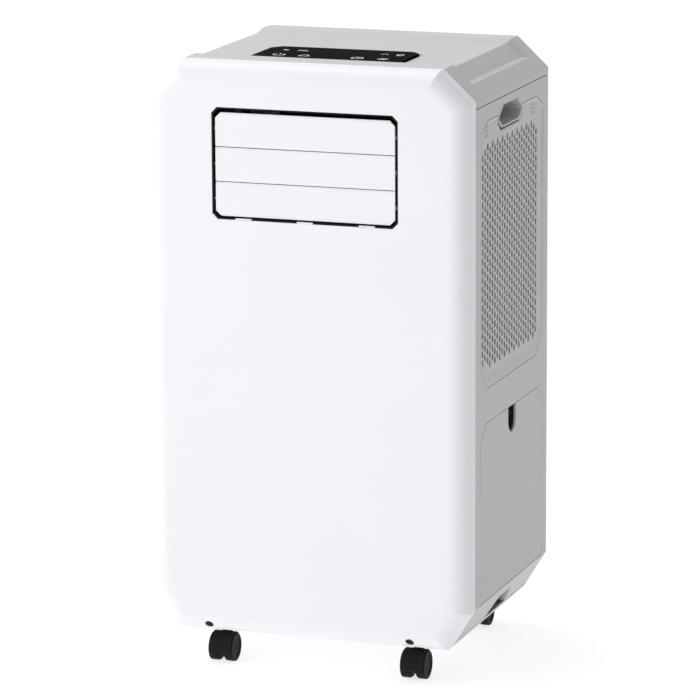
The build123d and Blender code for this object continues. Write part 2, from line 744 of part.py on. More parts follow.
def scroll(radii, x0, x1, axis_y, axis_z, mouth, mouth_low, side, inlet_right, motor_hole):
    """Blower housing, open on its inlet side for the inlet ring."""
    plane = Plane(origin=(x0, axis_y, axis_z), x_dir=(0, 1, 0), z_dir=(1, 0, 0))
    outer = extrude(plane * scroll_outline(radii, 0, mouth, mouth_low, side), amount=x1 - x0)
    hollow = scroll_outline(radii, blower_wall, mouth + 5, mouth_low, side)
    start = blower_wall if inlet_right else 0
    inner = extrude(plane.offset(start) * hollow, amount=x1 - x0 - blower_wall)
    return outer - inner - rod_x(motor_hole, x0 - 1, x1 + 1, axis_y, axis_z)


def evap_scroll():
    return scroll(evap_scroll_radii, evap_scroll_x0, evap_scroll_x1 - blower_wall, evap_axis_y, evap_axis_z,
                  evap_axis_y - duct_back_y, frame_low - evap_axis_z + blower_wall, -1, True, 16.0)


def cond_scroll():
    return scroll(cond_scroll_radii, cond_scroll_x0 + blower_wall, cond_scroll_x1, cond_axis_y, cond_axis_z,
                  collar_front_y - cond_axis_y, cond_scroll_radii[1] - cond_scroll_radii[0], 1, False, 16.0)


def inlet_ring(radii, x0, x1, axis_y, axis_z, mouth, mouth_low, side, bore):
    """Side plate of a blower with its round air inlet."""
    plane = Plane(origin=(x0, axis_y, axis_z), x_dir=(0, 1, 0), z_dir=(1, 0, 0))
    plate = extrude(plane * scroll_outline(radii, 0, mouth, mouth_low, side), amount=x1 - x0)
    return plate - rod_x(bore, x0 - 1, x1 + 1, axis_y, axis_z)


def inlet_rings():
    evap = inlet_ring(evap_scroll_radii, evap_scroll_x1 - blower_wall, evap_scroll_x1, evap_axis_y, evap_axis_z,
                      evap_axis_y - duct_back_y, frame_low - evap_axis_z + blower_wall, -1,
                      evap_wheel_radius - 12)
    cond = inlet_ring(cond_scroll_radii, cond_scroll_x0, cond_scroll_x0 + blower_wall, cond_axis_y, cond_axis_z,
                      collar_front_y - cond_axis_y, cond_scroll_radii[1] - cond_scroll_radii[0], 1,
                      cond_wheel_radius - 12)
    return [evap, cond]


def blower_wheel(radius, x0, x1, back_x, axis_y, axis_z, shaft_end):
    """Squirrel-cage wheel on its steel shaft; back_x is the end that carries the hub."""
    inward = 1 if back_x == x0 else -1
    disc = rod_x(radius, *sorted((back_x, back_x + inward * 2.0)), axis_y, axis_z)
    hub = rod_x(12.0, *sorted((back_x, back_x + inward * 26.0)), axis_y, axis_z)
    front_x = x1 if inward > 0 else x0
    ring = rod_x(radius, *sorted((front_x, front_x - inward * 3.0)), axis_y, axis_z)
    ring = ring - rod_x(radius - 11.0, x0 - 1, x1 + 1, axis_y, axis_z)
    slat = block(x0 + 0.5, x1 - 0.5, -0.7, 0.7, radius - 10.5, radius - 1.0)
    slats = [Pos(0, axis_y, axis_z) * Rot(360 * i / fan_blades, 0, 0) * slat for i in range(fan_blades)]
    wheel = union([disc, hub, ring] + slats)
    wheel = wheel - rod_x(shaft_radius + shaft_clearance, x0 - 30, x1 + 30, axis_y, axis_z)
    shaft = rod_x(shaft_radius, *sorted((shaft_end, back_x + inward * 28.0)), axis_y, axis_z)
    return [wheel, shaft]


def evap_wheel():
    return blower_wheel(evap_wheel_radius, evap_wheel_x0, evap_wheel_x1, evap_wheel_x0, evap_axis_y, evap_axis_z,
                        evap_scroll_x0 - 30.0)


def cond_wheel():
    x1 = cond_wheel_x0 + cond_wheel_length
    return blower_wheel(cond_wheel_radius, cond_wheel_x0, x1, x1, cond_axis_y, cond_axis_z,
                        cond_scroll_x1 + 30.0)


def blower_motor(radius, length, face_x, side, axis_y, axis_z):
    """Fan motor: can, end bell and the flange that bolts to the blower housing."""
    far = face_x + side * length
    can = rod_x(radius, *sorted((face_x + side * 4.0, far)), axis_y, axis_z)
    bell = rod_x(radius * 0.5, *sorted((far - side * 1.0, far + side * 6.0)), axis_y, axis_z)
    flange = rod_x(radius + 8.0, *sorted((face_x, face_x + side * 4.5)), axis_y, axis_z)
    motor = union([can, bell, flange])
    bore = rod_x(shaft_radius + shaft_clearance, *sorted((face_x - side, face_x + side * 31.0)), axis_y, axis_z)
    return motor - bore


def evap_motor():
    return blower_motor(motor_radius, motor_length, evap_scroll_x0, -1, evap_axis_y, evap_axis_z)


def cond_motor():
    return blower_motor(cond_motor_radius, cond_motor_length, cond_scroll_x1, 1, cond_axis_y, cond_axis_z)


# ---- heat exchangers -----------------------------------------------------------------------------
def coil(x0, y0, length, z0, height):
    """Finned block between two end plates; shallow grooves stand for the fin pack."""
    block_y0, block_y1 = y0 + 2.0, y0 + length - 2.0
    core = block(x0, x0 + coil_depth, block_y0, block_y1, z0, z0 + height)
    count = int((block_y1 - block_y0 - 12.0) / 12.0)
    for i in range(count):
        y = block_y0 + 12.0 + i * (block_y1 - block_y0 - 24.0) / (count - 1)
        core = core - block(x0 - 1, x0 + 1.5, y - 1, y + 1, z0 + 4, z0 + height - 4)
        core = core - block(x0 + coil_depth - 1.5, x0 + coil_depth + 1, y - 1, y + 1, z0 + 4, z0 + height - 4)
    plates = [block(x0 - 1, x0 + coil_depth + 1, y, y + 2.0, z0, z0 + height) for y in (y0, y0 + length - 2.0)]
    return union([core] + plates)


def evap_coil_y():
    return side_mid_y - evap_coil_length / 2


def cond_coil_y():
    return split_y + 17.6


def evap_coil():
    return coil(evap_coil_x, evap_coil_y(), evap_coil_length, deck_top, evap_coil_height)


def cond_coil():
    return coil(cond_coil_x, cond_coil_y(), cond_coil_length, cond_coil_low, cond_coil_height)


def return_bend(x, y, z, drop, out):
    """Half-ring of copper tube between two rows."""
    radius = drop / 2
    path = Plane(origin=(x, y, z), x_dir=(0, out, 0), z_dir=(out, 0, 0)) * ThreePointArc(
        (0, radius), (radius, 0), (0, -radius))
    ring = Plane(origin=(x, y, z + radius), z_dir=(0, out, 0)) * Circle(tube_radius)
    return sweep(ring, path=path)


def coil_tubes():
    """Copper return bends on both ends of both coils."""
    bends = []
    rows = ((evap_coil_x, evap_coil_y(), evap_coil_length, deck_top, evap_coil_height),
            (cond_coil_x, cond_coil_y(), cond_coil_length, cond_coil_low, cond_coil_height))
    for x, y, length, z0, height in rows:
        count = int((height - 40.0) / 38.0)
        for i in range(count):
            z = z0 + 44.0 + i * 38.0
            if z + 12 > z0 + height:
                continue
            for end, out in ((y, -1), (y + length, 1)):
                bends.append(return_bend(x + coil_depth / 2, end, z, 19.0, out))
    return bends


def divider_deck():
    """Drip deck between the cold upper half and the warm lower half, with a spout over the tank."""
    y0, y1 = split_y + 3.0, rear_y - 8.0
    deck = block(-inner_x, inner_x, y0, y1, deck_height, deck_top)
    spout_x = evap_coil_x + coil_depth / 2
    deck = deck + rod_z(7.0, deck_height - 22.0, deck_height + 1, spout_x, side_mid_y)
    deck = deck - rod_z(4.5, deck_height - 23.0, deck_top - 2.0, spout_x, side_mid_y)
    tray_x0, tray_x1 = evap_coil_x - 12.0, inner_x - ledge_thickness - 1.0
    rim = block(tray_x0 - 2, tray_x0, y0 + 2, y1 - 2, deck_top - 1, deck_top + tray_wall)
    deck = deck + rim
    deck = deck - rod_z(pipe_radius + 2.0, deck_height - 9, deck_top + 9, *suction_drop())
    return deck - rod_z(capillary_radius + 2.0, deck_height - 9, deck_top + 9, *capillary_rise())


# ---- refrigerant circuit -------------------------------------------------------------------------
def compressor():
    """Upright hermetic shell with a domed top and bottom and a three-armed foot."""
    shell = rod_z(compressor_radius, compressor_low + 10.0, compressor_top, compressor_x, compressor_y)
    shell = fillet(shell.edges().filter_by(GeomType.CIRCLE), 14.0)
    arms = []
    for i in range(3):
        arm = block(0, foot_circle + foot_arm[0], -foot_arm[1], foot_arm[1], 0, 3.0)
        arms.append(Pos(compressor_x, compressor_y, compressor_low) * Rot(0, 0, 120 * i + foot_turn) * arm)
    neck = rod_z(compressor_radius * 0.7, compressor_low, compressor_low + 14.0, compressor_x, compressor_y)
    cap = rod_z(15.0, compressor_top - 3.0, compressor_top + 6.0, compressor_x, compressor_y - 24.0)
    body = union([shell, neck, cap] + arms)
    for x, y in grommet_places():
        body = body - rod_z(5.0, compressor_low - 1, compressor_low + 4, x, y)
    return body


def grommet_places():
    places = []
    for i in range(3):
        a = radians(120 * i + foot_turn)
        places.append((compressor_x + foot_circle * cos(a), compressor_y + foot_circle * sin(a)))
    return places


def compressor_mounts():
    """Rubber grommets that stand on the base pan and carry the compressor's foot."""
    mounts = []
    for x, y in grommet_places():
        lower = rod_z(grommet_radius, pan_floor_z, compressor_low, x, y)
        neck = rod_z(4.8, compressor_low - 1, compressor_low + 3.2, x, y)
        collar = rod_z(8.0, compressor_low + 3.2, compressor_low + 6.0, x, y)
        mounts.append(union([lower, neck, collar]))
    return mounts


def accumulator():
    """Suction accumulator beside the compressor, held on a strap-like bracket."""
    can = rod_z(accumulator_radius, accumulator_low, accumulator_top, accumulator_x, accumulator_y)
    can = fillet(can.edges().filter_by(GeomType.CIRCLE), 10.0)
    dx, dy = accumulator_x - compressor_x, accumulator_y - compressor_y
    reach = hypot(dx, dy)
    bracket = block(compressor_radius + 0.05, reach - accumulator_radius + 3.0, -8, 8, 0, 12.0)
    place = Pos(compressor_x, compressor_y, (accumulator_low + accumulator_top) / 2)
    bracket = place * Rot(0, 0, degrees(atan2(dy, dx))) * bracket
    bracket = bracket - rod_z(compressor_radius, compressor_low, compressor_top, compressor_x, compressor_y)
    return can + bracket


def pipe(points, radius, bend):
    """Round tube along straight runs joined by equal bends."""
    path = FilletPolyline(*points, radius=bend)
    start = Vector(*points[1]) - Vector(*points[0])
    ring = Plane(origin=points[0], z_dir=start) * Circle(radius)
    return sweep(ring, path=path)


def suction_drop():
    return evap_coil_x + coil_depth / 2, evap_coil_y() - 12.0


def capillary_rise():
    return evap_coil_x - 44.0, evap_coil_y() + evap_coil_length + 7.0


def discharge_pipe():
    """Hot gas line from the compressor's top to the condenser."""
    high = deck_height - 12.0
    x, y = cond_coil_x + coil_depth / 2, cond_coil_y()
    out_y = y - 12.0
    z = cond_coil_low + cond_coil_height - 8.0
    points = [(compressor_x, compressor_y + 14, compressor_top), (compressor_x, compressor_y + 14, high),
              (compressor_x - 26, compressor_y + 14, high), (compressor_x - 26, out_y, high),
              (x, out_y, high), (x, out_y, z), (x, y, z)]
    return pipe(points, pipe_radius, 5.5)


def suction_pipe():
    """Cold line from the evaporator, through the deck, to the accumulator."""
    x, y = suction_drop()
    high = deck_height - 24.0
    lane = tank_x0 - 5.5
    start_z = deck_top + 16.0
    points = [(x, evap_coil_y(), start_z), (x, y, start_z), (x, y, high), (lane, y, high),
              (lane, accumulator_y, high), (accumulator_x, accumulator_y, high),
              (accumulator_x, accumulator_y, accumulator_top)]
    return pipe(points, pipe_radius, 5.5)


def capillary_tube():
    """Thin liquid line from the condenser to the evaporator."""
    x, y = capillary_rise()
    coil_x = cond_coil_x + coil_depth / 2
    end_y = cond_coil_y() + cond_coil_length
    z_low, z_high = cond_coil_low + 20.0, deck_top + 12.0
    evap_end = evap_coil_y() + evap_coil_length
    points = [(coil_x, end_y, z_low), (coil_x, y, z_low), (x, y, z_low), (x, y, z_high),
              (evap_coil_x + coil_depth / 2, y, z_high), (evap_coil_x + coil_depth / 2, evap_end, z_high)]
    return pipe(points, capillary_radius, 3.0)


# ---- base ----------------------------------------------------------------------------------------
def caster_stems():
    """Stem axes of the four casters, keyed by corner."""
    front = front_y + front_caster_inset + caster_trail
    rear = rear_y - rear_caster_inset - caster_trail
    return {"front_left": (-caster_x, front, -1), "front_right": (caster_x, front, -1),
            "rear_left": (-caster_x, rear, 1), "rear_right": (caster_x, rear, 1)}


def base_pan():
    """Bottom tray: visible lip, water-tight upstand, caster sockets, tank shelf and drain spout."""
    rim = cabinet(0, split_y, rear_y) & below(lip_z)
    hollow = cabinet(wall, split_y + wall, rear_y - wall) & above(pan_floor_z)
    pan = rim - (hollow & below(lip_z + 1))
    x = half_width - low_chamfer[0] - vent_depth - 3.0
    y0, y1, z1 = split_y + 4.0, rear_y - 8.0, pan_floor_z + upstand_height
    pan = pan + (block(-x, x, y0, y1, pan_floor_z - 1, z1)
                 - block(-x + wall, x - wall, y0 + wall, y1 - wall, pan_floor_z - 1, z1 + 1))
    for sx, sy, _ in caster_stems().values():
        pan = pan + rod_z(socket_radius, pan_floor_z - 1, stem_top + 3.0, sx, sy)
    pan = pan + block(-x, -x + wall, cond_coil_y(), cond_coil_y() + cond_coil_length, z1 - 1, cond_coil_low)
    shelf_y0, shelf_y1 = side_mid_y - tank_half, side_mid_y + tank_half
    pan = pan + block(tank_x0, x, shelf_y0, shelf_y1, tank_low - 2.2, tank_low - 0.2)
    for y in (shelf_y0 + 40.0, side_mid_y, shelf_y1 - 40.0):
        pan = pan + block(tank_x0, x - 1, y - 1.2, y + 1.2, pan_floor_z - 1, tank_low - 2.0)
    for sx, sy, _ in caster_stems().values():
        pan = pan - rod_z(stem_radius + 0.08, 0, stem_top + 0.3, sx, sy)
    drain_x, drain_z = drain_place
    pan = pan + rod_y(drain_radius + 3.0, y1 - 1, y1 + drain_reach, drain_x, drain_z)
    return pan - rod_y(drain_radius, y1 - 15, y1 + drain_reach + 1, drain_x, drain_z)


def drain_plug():
    """Rubber plug in the drain spout; its head stays inside the rear panel's opening."""
    x, z = drain_place
    seat = rear_y - 8.0 + drain_reach
    stem = rod_y(drain_radius - 0.08, seat - 12, seat + 0.5, x, z)
    head = rod_y(drain_radius + 3.5, seat, rear_y - 1.0, x, z)
    return stem + head


def cord_gland():
    """Flanged grommet where the mains lead leaves the rear panel."""
    x, z = gland_place
    flange = rod_y(gland_radius + 2.5, rear_y - wall - 2.0, rear_y - wall, x, z)
    barrel = rod_y(gland_radius - 0.05, rear_y - wall - 6.0, rear_y, x, z)
    return (flange + barrel) - rod_y(gland_radius - 4.5, rear_y - 20, rear_y + 1, x, z)


# ---- casters -------------------------------------------------------------------------------------
def caster_hood(corner):
    """Swivelling hood that covers both wheels, with its axle and upright stem."""
    x, y, side = caster_stems()[corner]
    axle_y = y + side * caster_trail
    outer = wheel_radius + hood_gap + hood_wall
    shell = rod_x(outer, x - hood_half_width, x + hood_half_width, axle_y, wheel_radius)
    hollow, web = wheel_radius + hood_gap, wheel_inner - 0.6
    shell = shell - rod_x(hollow, x - hood_half_width - 1, x - web, axle_y, wheel_radius)
    shell = shell - rod_x(hollow, x + web, x + hood_half_width + 1, axle_y, wheel_radius)
    shell = shell & block(x - 20, x + 20, axle_y - 30, axle_y + 30, hood_lift, wheel_radius + outer + 1)
    stem = rod_z(stem_radius, wheel_radius + 6.0, stem_top, x, y)
    keep_out = union([
        rod_x(hollow, x - 20, x - web, axle_y, wheel_radius),
        rod_x(hollow, x + web, x + 20, axle_y, wheel_radius),
    ])
    axle = rod_x(axle_radius, x - wheel_inner - 7.0, x + wheel_inner + 7.0, axle_y, wheel_radius)
    return union([shell, stem - keep_out, axle])


def caster_wheels(corner):
    """The two dished wheels of one caster."""
    x, y, side = caster_stems()[corner]
    axle_y = y + side * caster_trail
    wheels = []
    for hand in (-1, 1):
        a, b = sorted((x + hand * wheel_inner, x + hand * (wheel_inner + wheel_width)))
        wheel = rod_x(wheel_radius, a, b, axle_y, wheel_radius)
        rims = wheel.edges().filter_by(GeomType.CIRCLE).sort_by(Axis.X)
        wheel = fillet(rims[-1] if hand > 0 else rims[0], wheel_edge[1])
        rims = wheel.edges().filter_by(GeomType.CIRCLE).sort_by(Axis.X)
        wheel = fillet(rims[0] if hand > 0 else rims[-1], wheel_edge[0])
        wide, narrow, deep = wheel_dish
        dish = Pos(x + hand * (wheel_inner + wheel_width - deep / 2), axle_y, wheel_radius)
        wheel = wheel - dish * Rot(0, hand * 90, 0) * Cone(narrow, wide, deep)
        bore = sorted((x + hand * (wheel_inner - 1), x + hand * (wheel_inner + 7.5)))
        wheels.append(wheel - rod_x(axle_radius + 0.06, *bore, axle_y, wheel_radius))
    return wheels


def exhaust_collar():
    """Socket for the exhaust hose connector, flanged behind the rear panel."""
    tube = rod_y(collar_radius + collar_wall, collar_front_y, rear_y, collar_x, collar_z)
    flange = rod_y(collar_radius + collar_wall + collar_flange, rear_y - 2 * wall, rear_y - wall, collar_x, collar_z)
    return (tube + flange) - rod_y(collar_radius, collar_front_y - 1, rear_y + 1, collar_x, collar_z)


# ---- hatches and fittings ------------------------------------------------------------------------
def slot_places():
    """Middle of every air slot, staggered by half a pitch on every other column."""
    dy, dz = slot_pitch
    places = []
    for column in range(slot_columns):
        y = slot_mid_y + (column - (slot_columns - 1) / 2) * dy
        to_edge = hatch_width / 2 - abs(y - side_mid_y)
        low = slot_low + slot_corner * max(0.0, filter_corner_low[1] - to_edge)
        top = slot_top - (dz / 2 if column % 2 else 0.0)
        first = 1 if column in (0, slot_columns - 1) else 0
        places += [(y, top - row * dz) for row in range(first, slot_rows) if top - row * dz > low]
    return places


def field_outline(side_inset, low_inset):
    """Outline of the sunk slotted field at one depth."""
    grow = -2 * side_inset
    return chamfered_panel(hatch_width + grow, filter_bottom + low_inset, filter_top - side_inset,
                           filter_corner_top, filter_corner_low, side_mid_y)


def filter_panel():
    """Slotted intake hatch: its field is sunk, with a wide slope along the lower edge as a grip."""
    panel = prism_x(filter_outline(), inner_x, half_width)
    outer, inner = field_margin
    layers = ((half_width - field_depth, field_outline(inner, grip_band)),
              (half_width + 0.01, field_outline(outer, outer)))
    panel = panel - loft([Plane.YZ.offset(x) * make_face(Polyline(*points, close=True)) for x, points in layers])
    panel = panel - handle_cut()
    slots = [SlotOverall(slot_size[1], slot_size[0], rotation=90).moved(Location((y, z))) for y, z in slot_places()]
    dots = [Circle(dot_radius).moved(Location((slot_mid_y + side * y, z))) for side in (-1, 1)
            for y in dot_offsets for z in dot_heights]
    cut = Sketch(children=slots + dots)
    return panel - extrude(Plane.YZ.offset(inner_x - 1) * cut, amount=wall + 2)


def filter_mesh():
    """Washable dust filter clipped behind the intake hatch."""
    x0, x1 = inner_x - 4.0, inner_x
    outer = filter_outline(-ledge_width - 0.6)
    frame = prism_x(outer, x0, x1) - prism_x(filter_outline(-ledge_width - 6.0), x0 - 1, x1 + 1)
    sheet = prism_x(filter_outline(-ledge_width - 5.0), x0 + 1.0, x0 + 1.6)
    bars = [block(x0 + 0.5, x1 - 1.0, side_mid_y - hatch_width / 2 + 10, side_mid_y + hatch_width / 2 - 10,
                  z - 1, z + 1) for z in (370.0, 430.0, 490.0, 550.0)]
    body = union([frame, sheet] + bars)
    return body - prism_x(handle_outline(3.0), x0 - 1, x1 + 1)


def tank_front():
    """Flush front of the pull-out condensate tank, with a finger notch in its top edge."""
    panel = prism_x(tank_outline(), inner_x, half_width)
    r = notch_width / 2
    low = tank_panel_top - notch_depth
    notch = block(inner_x - 1, half_width + 1, side_mid_y - r, side_mid_y + r, low + r, tank_panel_top + 1)
    return panel - notch - rod_x(r, inner_x - 1, half_width + 1, side_mid_y, low + r)


def water_tank():
    """Open tub behind the tank front."""
    y0, y1 = side_mid_y - tank_half, side_mid_y + tank_half
    x0, x1 = tank_x0, inner_x
    z0, z1 = tank_low, tank_low + tank_height
    tub = block(x0, x1, y0, y1, z0, z1)
    return tub - block(x0 + tank_wall, x1 - tank_wall, y0 + tank_wall, y1 - tank_wall, z0 + tank_wall, z1 + 1)


def left_intake_grille():
    """Fixed louvred grille over the condenser intake."""
    panel = prism_x(tank_outline(), inner_x, half_width)
    rows = [SlotOverall(90.0, 4.0).moved(Location((side_mid_y + s * 49.0, z)))
            for s in (-1, 1) for z in range(102, 252, 10)]
    panel = panel - extrude(Plane.YZ.offset(inner_x - 1) * Sketch(children=rows), amount=wall + 2)
    return mirrored(panel)


def handle_cup():
    """Blind cup behind the grip opening."""
    x0, x1 = half_width - handle_depth, half_width - 0.5
    return prism_x(cup_outline(), x0, x1) - prism_x(cup_outline(cup_wall), x0 + cup_wall, x1 + 1)


def side_vent():
    """Dark slotted plate that closes the low opening in the sloped corner."""
    layer = slope_layer(vent_depth, vent_depth + vent_plate)
    plate = layer & vent_prism(vent_wall, 0, half_width) & above(lip_z + lip_gap)
    pitch = (vent_high[1] - vent_high[0]) / vent_bars
    for i in range(vent_bars):
        y = vent_high[0] + (i + 0.5) * pitch
        plate = plate - block(0, half_width, y - pitch / 4, y + pitch / 4, lip_z + 5.0, lip_z + vent_height - 4.0)
    return plate


# ---- electrics -----------------------------------------------------------------------------------
def box_place():
    x0 = -inner_x
    y0 = side_mid_y - box_size[1] / 2
    return x0, y0, deck_top


def control_box():
    """Open metal box for the electrics, fixed to the left wall above the deck."""
    x0, y0, z0 = box_place()
    dx, dy, dz = box_size
    shell = block(x0, x0 + dx, y0, y0 + dy, z0, z0 + dz)
    return shell - block(x0 + box_wall, x0 + dx + 1, y0 + box_wall, y0 + dy - box_wall,
                         z0 + box_wall, z0 + dz - box_wall)


def main_board():
    """Control board on the back of the box, with a relay, transformer and connectors."""
    x0, y0, z0 = box_place()
    x = x0 + box_wall
    dy, dz = box_size[1], box_size[2]
    board = block(x, x + board_thickness, y0 + 10, y0 + dy - 10, z0 + 90, z0 + dz - 10)
    relay = block(x + 1, x + 18, y0 + 20, y0 + 46, z0 + 100, z0 + 116)
    transformer = block(x + 1, x + 30, y0 + 64, y0 + 104, z0 + 100, z0 + 140)
    sockets = [block(x + 1, x + 10, y0 + 18 + i * 18, y0 + 30 + i * 18, z0 + dz - 28, z0 + dz - 18)
               for i in range(6)]
    return union([board, relay, transformer] + sockets)


def run_capacitor():
    """Oval-can capacitor standing in the bottom of the box."""
    x0, y0, z0 = box_place()
    can = rod_z(18.0, z0 + box_wall, z0 + box_wall + 70.0, x0 + 24.0, y0 + 40.0)
    tags = [block(x0 + 22, x0 + 26, y0 + 40 + s * 8 - 1, y0 + 40 + s * 8 + 1, z0 + box_wall + 69, z0 + box_wall + 80)
            for s in (-1, 1)]
    return union([can] + tags)


# ---- fasteners -----------------------------------------------------------------------------------
def rear_screw(x, z):
    head = rod_y(screw_head_radius, rear_y - screw_head_height, rear_y, x, z)
    shank = rod_y(screw_shank_radius, rear_y - wall, rear_y - 1.0, x, z)
    slot = block(x - 2.2, x + 2.2, rear_y - 0.6, rear_y + 1, z - 0.4, z + 0.4)
    cross = block(x - 0.4, x + 0.4, rear_y - 0.6, rear_y + 1, z - 2.2, z + 2.2)
    return union([head, shank]) - slot - cross


def foot_screw(side):
    """Dark pan-head screw sunk in the front cover's lower edge."""
    head = Cylinder(foot_screw_radius, foot_screw_height, align=(Align.CENTER, Align.CENTER, Align.MAX))
    length, width, deep = cross_recess
    cross = Box(length, width, 2 * deep) + Box(width, length, 2 * deep)
    return foot_screw_place(side).offset(-foot_screw_sink) * (head - cross)


def shell_screws():
    return [rear_screw(x, z) for x, z in rear_screw_places()] + [foot_screw(side) for side in (-1, 1)]


# ---- assembly ------------------------------------------------------------------------------------
def assembly():
    """Every node by name; a list holds the separate solids of one node."""
    parts = {
        "base_pan": base_pan(), "front_cover": front_cover(), "right_side_panel": right_side_panel(),
        "left_side_panel": left_side_panel(), "rear_panel": rear_panel(), "top_cover": top_cover(),
        "control_lens": control_lens(), "display_board": display_board(),
        "outlet_frame": outlet_frame(), "louvre_link": louvre_link(), "louvre_motor": louvre_motor(),
        "outlet_duct": outlet_duct(), "vane_tie_bar": vane_tie_bar(),
        "evap_scroll": evap_scroll(), "cond_scroll": cond_scroll(), "inlet_rings": inlet_rings(),
        "evap_wheel": evap_wheel(), "cond_wheel": cond_wheel(),
        "evap_motor": evap_motor(), "cond_motor": cond_motor(),
        "evap_coil": evap_coil(), "cond_coil": cond_coil(), "coil_tubes": coil_tubes(),
        "divider_deck": divider_deck(), "exhaust_collar": exhaust_collar(),
        "compressor": compressor(), "compressor_mounts": compressor_mounts(), "accumulator": accumulator(),
        "discharge_pipe": discharge_pipe(), "suction_pipe": suction_pipe(), "capillary_tube": capillary_tube(),
        "control_box": control_box(), "main_board": main_board(), "run_capacitor": run_capacitor(),
        "filter_panel": filter_panel(), "filter_mesh": filter_mesh(),
        "tank_front": tank_front(), "water_tank": water_tank(), "left_intake_grille": left_intake_grille(),
        "handle_cups": [handle_cup(), mirrored(handle_cup())], "side_vents": [side_vent(), mirrored(side_vent())],
        "drain_plug": drain_plug(), "cord_gland": cord_gland(), "shell_screws": shell_screws(),
    }
    for index, name in enumerate(("lower", "middle", "upper")[:blade_count]):
        parts["louvre_" + name] = louvre_blade(index)
    for index in range(vane_count):
        parts[f"vane_{index + 1}"] = vane(index)
    for corner in caster_stems():
        parts["caster_hood_" + corner] = caster_hood(corner)
        parts["caster_wheels_" + corner] = caster_wheels(corner)
    return parts


def write(name, shape):
    solids = shape if isinstance(shape, list) else [shape]
    flat = [solid for item in solids for solid in item.solids()]
    export_step(flat[0] if len(flat) == 1 else Compound(children=flat), f"parts/{name}.step")
    return len(flat)


os.makedirs("parts", exist_ok=True)
for node, shape in assembly().items():
    print(node, write(node, shape))
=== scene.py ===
# %% [markdown]
# # A portable air conditioner, finished in Blender
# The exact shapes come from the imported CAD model, which is a fixed frame: every node keeps its
# place and mesh. This lesson gives each one the finish of the material it is made of, and adds
# what CAD leaves plain: heat exchanger fins, the woven dust filter, domed screws, a finger guard
# in the exhaust, and the printed key symbols.
# One unit is one metre, +Z is up and the front faces -Y.

# %% Load the frame
import bpy
import bmesh
import json
from math import cos, pi, radians, sin
from mathutils import Matrix, Vector


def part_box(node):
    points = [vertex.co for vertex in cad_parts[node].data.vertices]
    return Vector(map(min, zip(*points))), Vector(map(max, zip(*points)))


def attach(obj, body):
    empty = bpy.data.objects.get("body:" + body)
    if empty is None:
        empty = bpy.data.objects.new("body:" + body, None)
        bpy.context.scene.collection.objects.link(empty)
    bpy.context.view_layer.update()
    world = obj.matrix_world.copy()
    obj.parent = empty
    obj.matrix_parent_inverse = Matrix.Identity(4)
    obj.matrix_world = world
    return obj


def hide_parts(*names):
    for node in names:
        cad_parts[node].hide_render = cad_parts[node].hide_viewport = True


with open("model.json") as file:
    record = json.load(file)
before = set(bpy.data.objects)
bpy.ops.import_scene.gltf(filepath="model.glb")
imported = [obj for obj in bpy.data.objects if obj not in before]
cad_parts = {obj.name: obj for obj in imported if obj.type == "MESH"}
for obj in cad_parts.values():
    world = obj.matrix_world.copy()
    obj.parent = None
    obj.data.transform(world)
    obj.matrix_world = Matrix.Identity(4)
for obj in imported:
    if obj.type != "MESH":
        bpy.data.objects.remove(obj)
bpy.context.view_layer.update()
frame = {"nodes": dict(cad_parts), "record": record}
MM = 0.001
scene = bpy.context.scene

# %% [markdown]
# ## Camera
# A long lens stands well back from the object, so its upright edges stay almost parallel.
# The camera is placed by its three directions and not by angles, because a slight roll of the
# horizon is then kept exactly.

# %% Camera
camera_data = bpy.data.cameras.new("studio_camera")
camera = bpy.data.objects.new("studio_camera", camera_data)
scene.collection.objects.link(camera)
right = Vector((0.9440671, 0.3297161, -0.0049610))
up = Vector((-0.0649134, 0.2005729, 0.9775259))
ahead = Vector((-0.3233010, 0.9225280, -0.2107572))
placing = Matrix((right, up, -ahead)).transposed().to_4x4()
placing.translation = Vector((1.4963, -4.2725, 1.29925))
camera.matrix_world = placing
camera_data.sensor_width = 36.0
camera_data.lens = 223.82
camera_data.clip_end = 50.0
scene.camera = camera
scene.view_settings.view_transform = "Standard"
print("camera", [round(c, 3) for c in camera.location], "lens", camera_data.lens)

# %% [markdown]
# ## Colours and nodes
# A colour picked on a screen is an sRGB hex value, but light adds up in linear values, so the
# function `linear` converts it. `add` puts in a node, sets its options and links its inputs.

# %% Colours and nodes
def linear(hex_colour):
    """sRGB hex to linear RGBA."""
    values = [int(hex_colour[i:i + 2], 16) / 255 for i in (0, 2, 4)]
    return tuple(v / 12.92 if v <= 0.04045 else ((v + 0.055) / 1.055) ** 2.4 for v in values) + (1.0,)


def add(tree, kind, inputs=None, **options):
    """Add a node: options are its settings; an input is a value, or a socket to link from."""
    node = tree.nodes.new(kind)
    for option, value in options.items():
        setattr(node, option, value)
    for key, value in (inputs or {}).items():
        if isinstance(value, bpy.types.NodeSocket):
            tree.links.new(value, node.inputs[key])
        else:
            node.inputs[key].default_value = value
    return node


print("white is", [round(c, 3) for c in linear("F4F3F8")])

# %% [markdown]
# ## Studio
# Product light is a white tent: light comes from everywhere. Its right-hand wall is left dimmer,
# so the faces that turn that way fall off softly and the rounded edges read, and two large soft
# lamps lift the front and the top. A tent could be modelled as walls, but a world whose strength
# depends on the direction gives the same light and never hides the object in another view.
# The floor is one wide plane, so no edge of it shows.

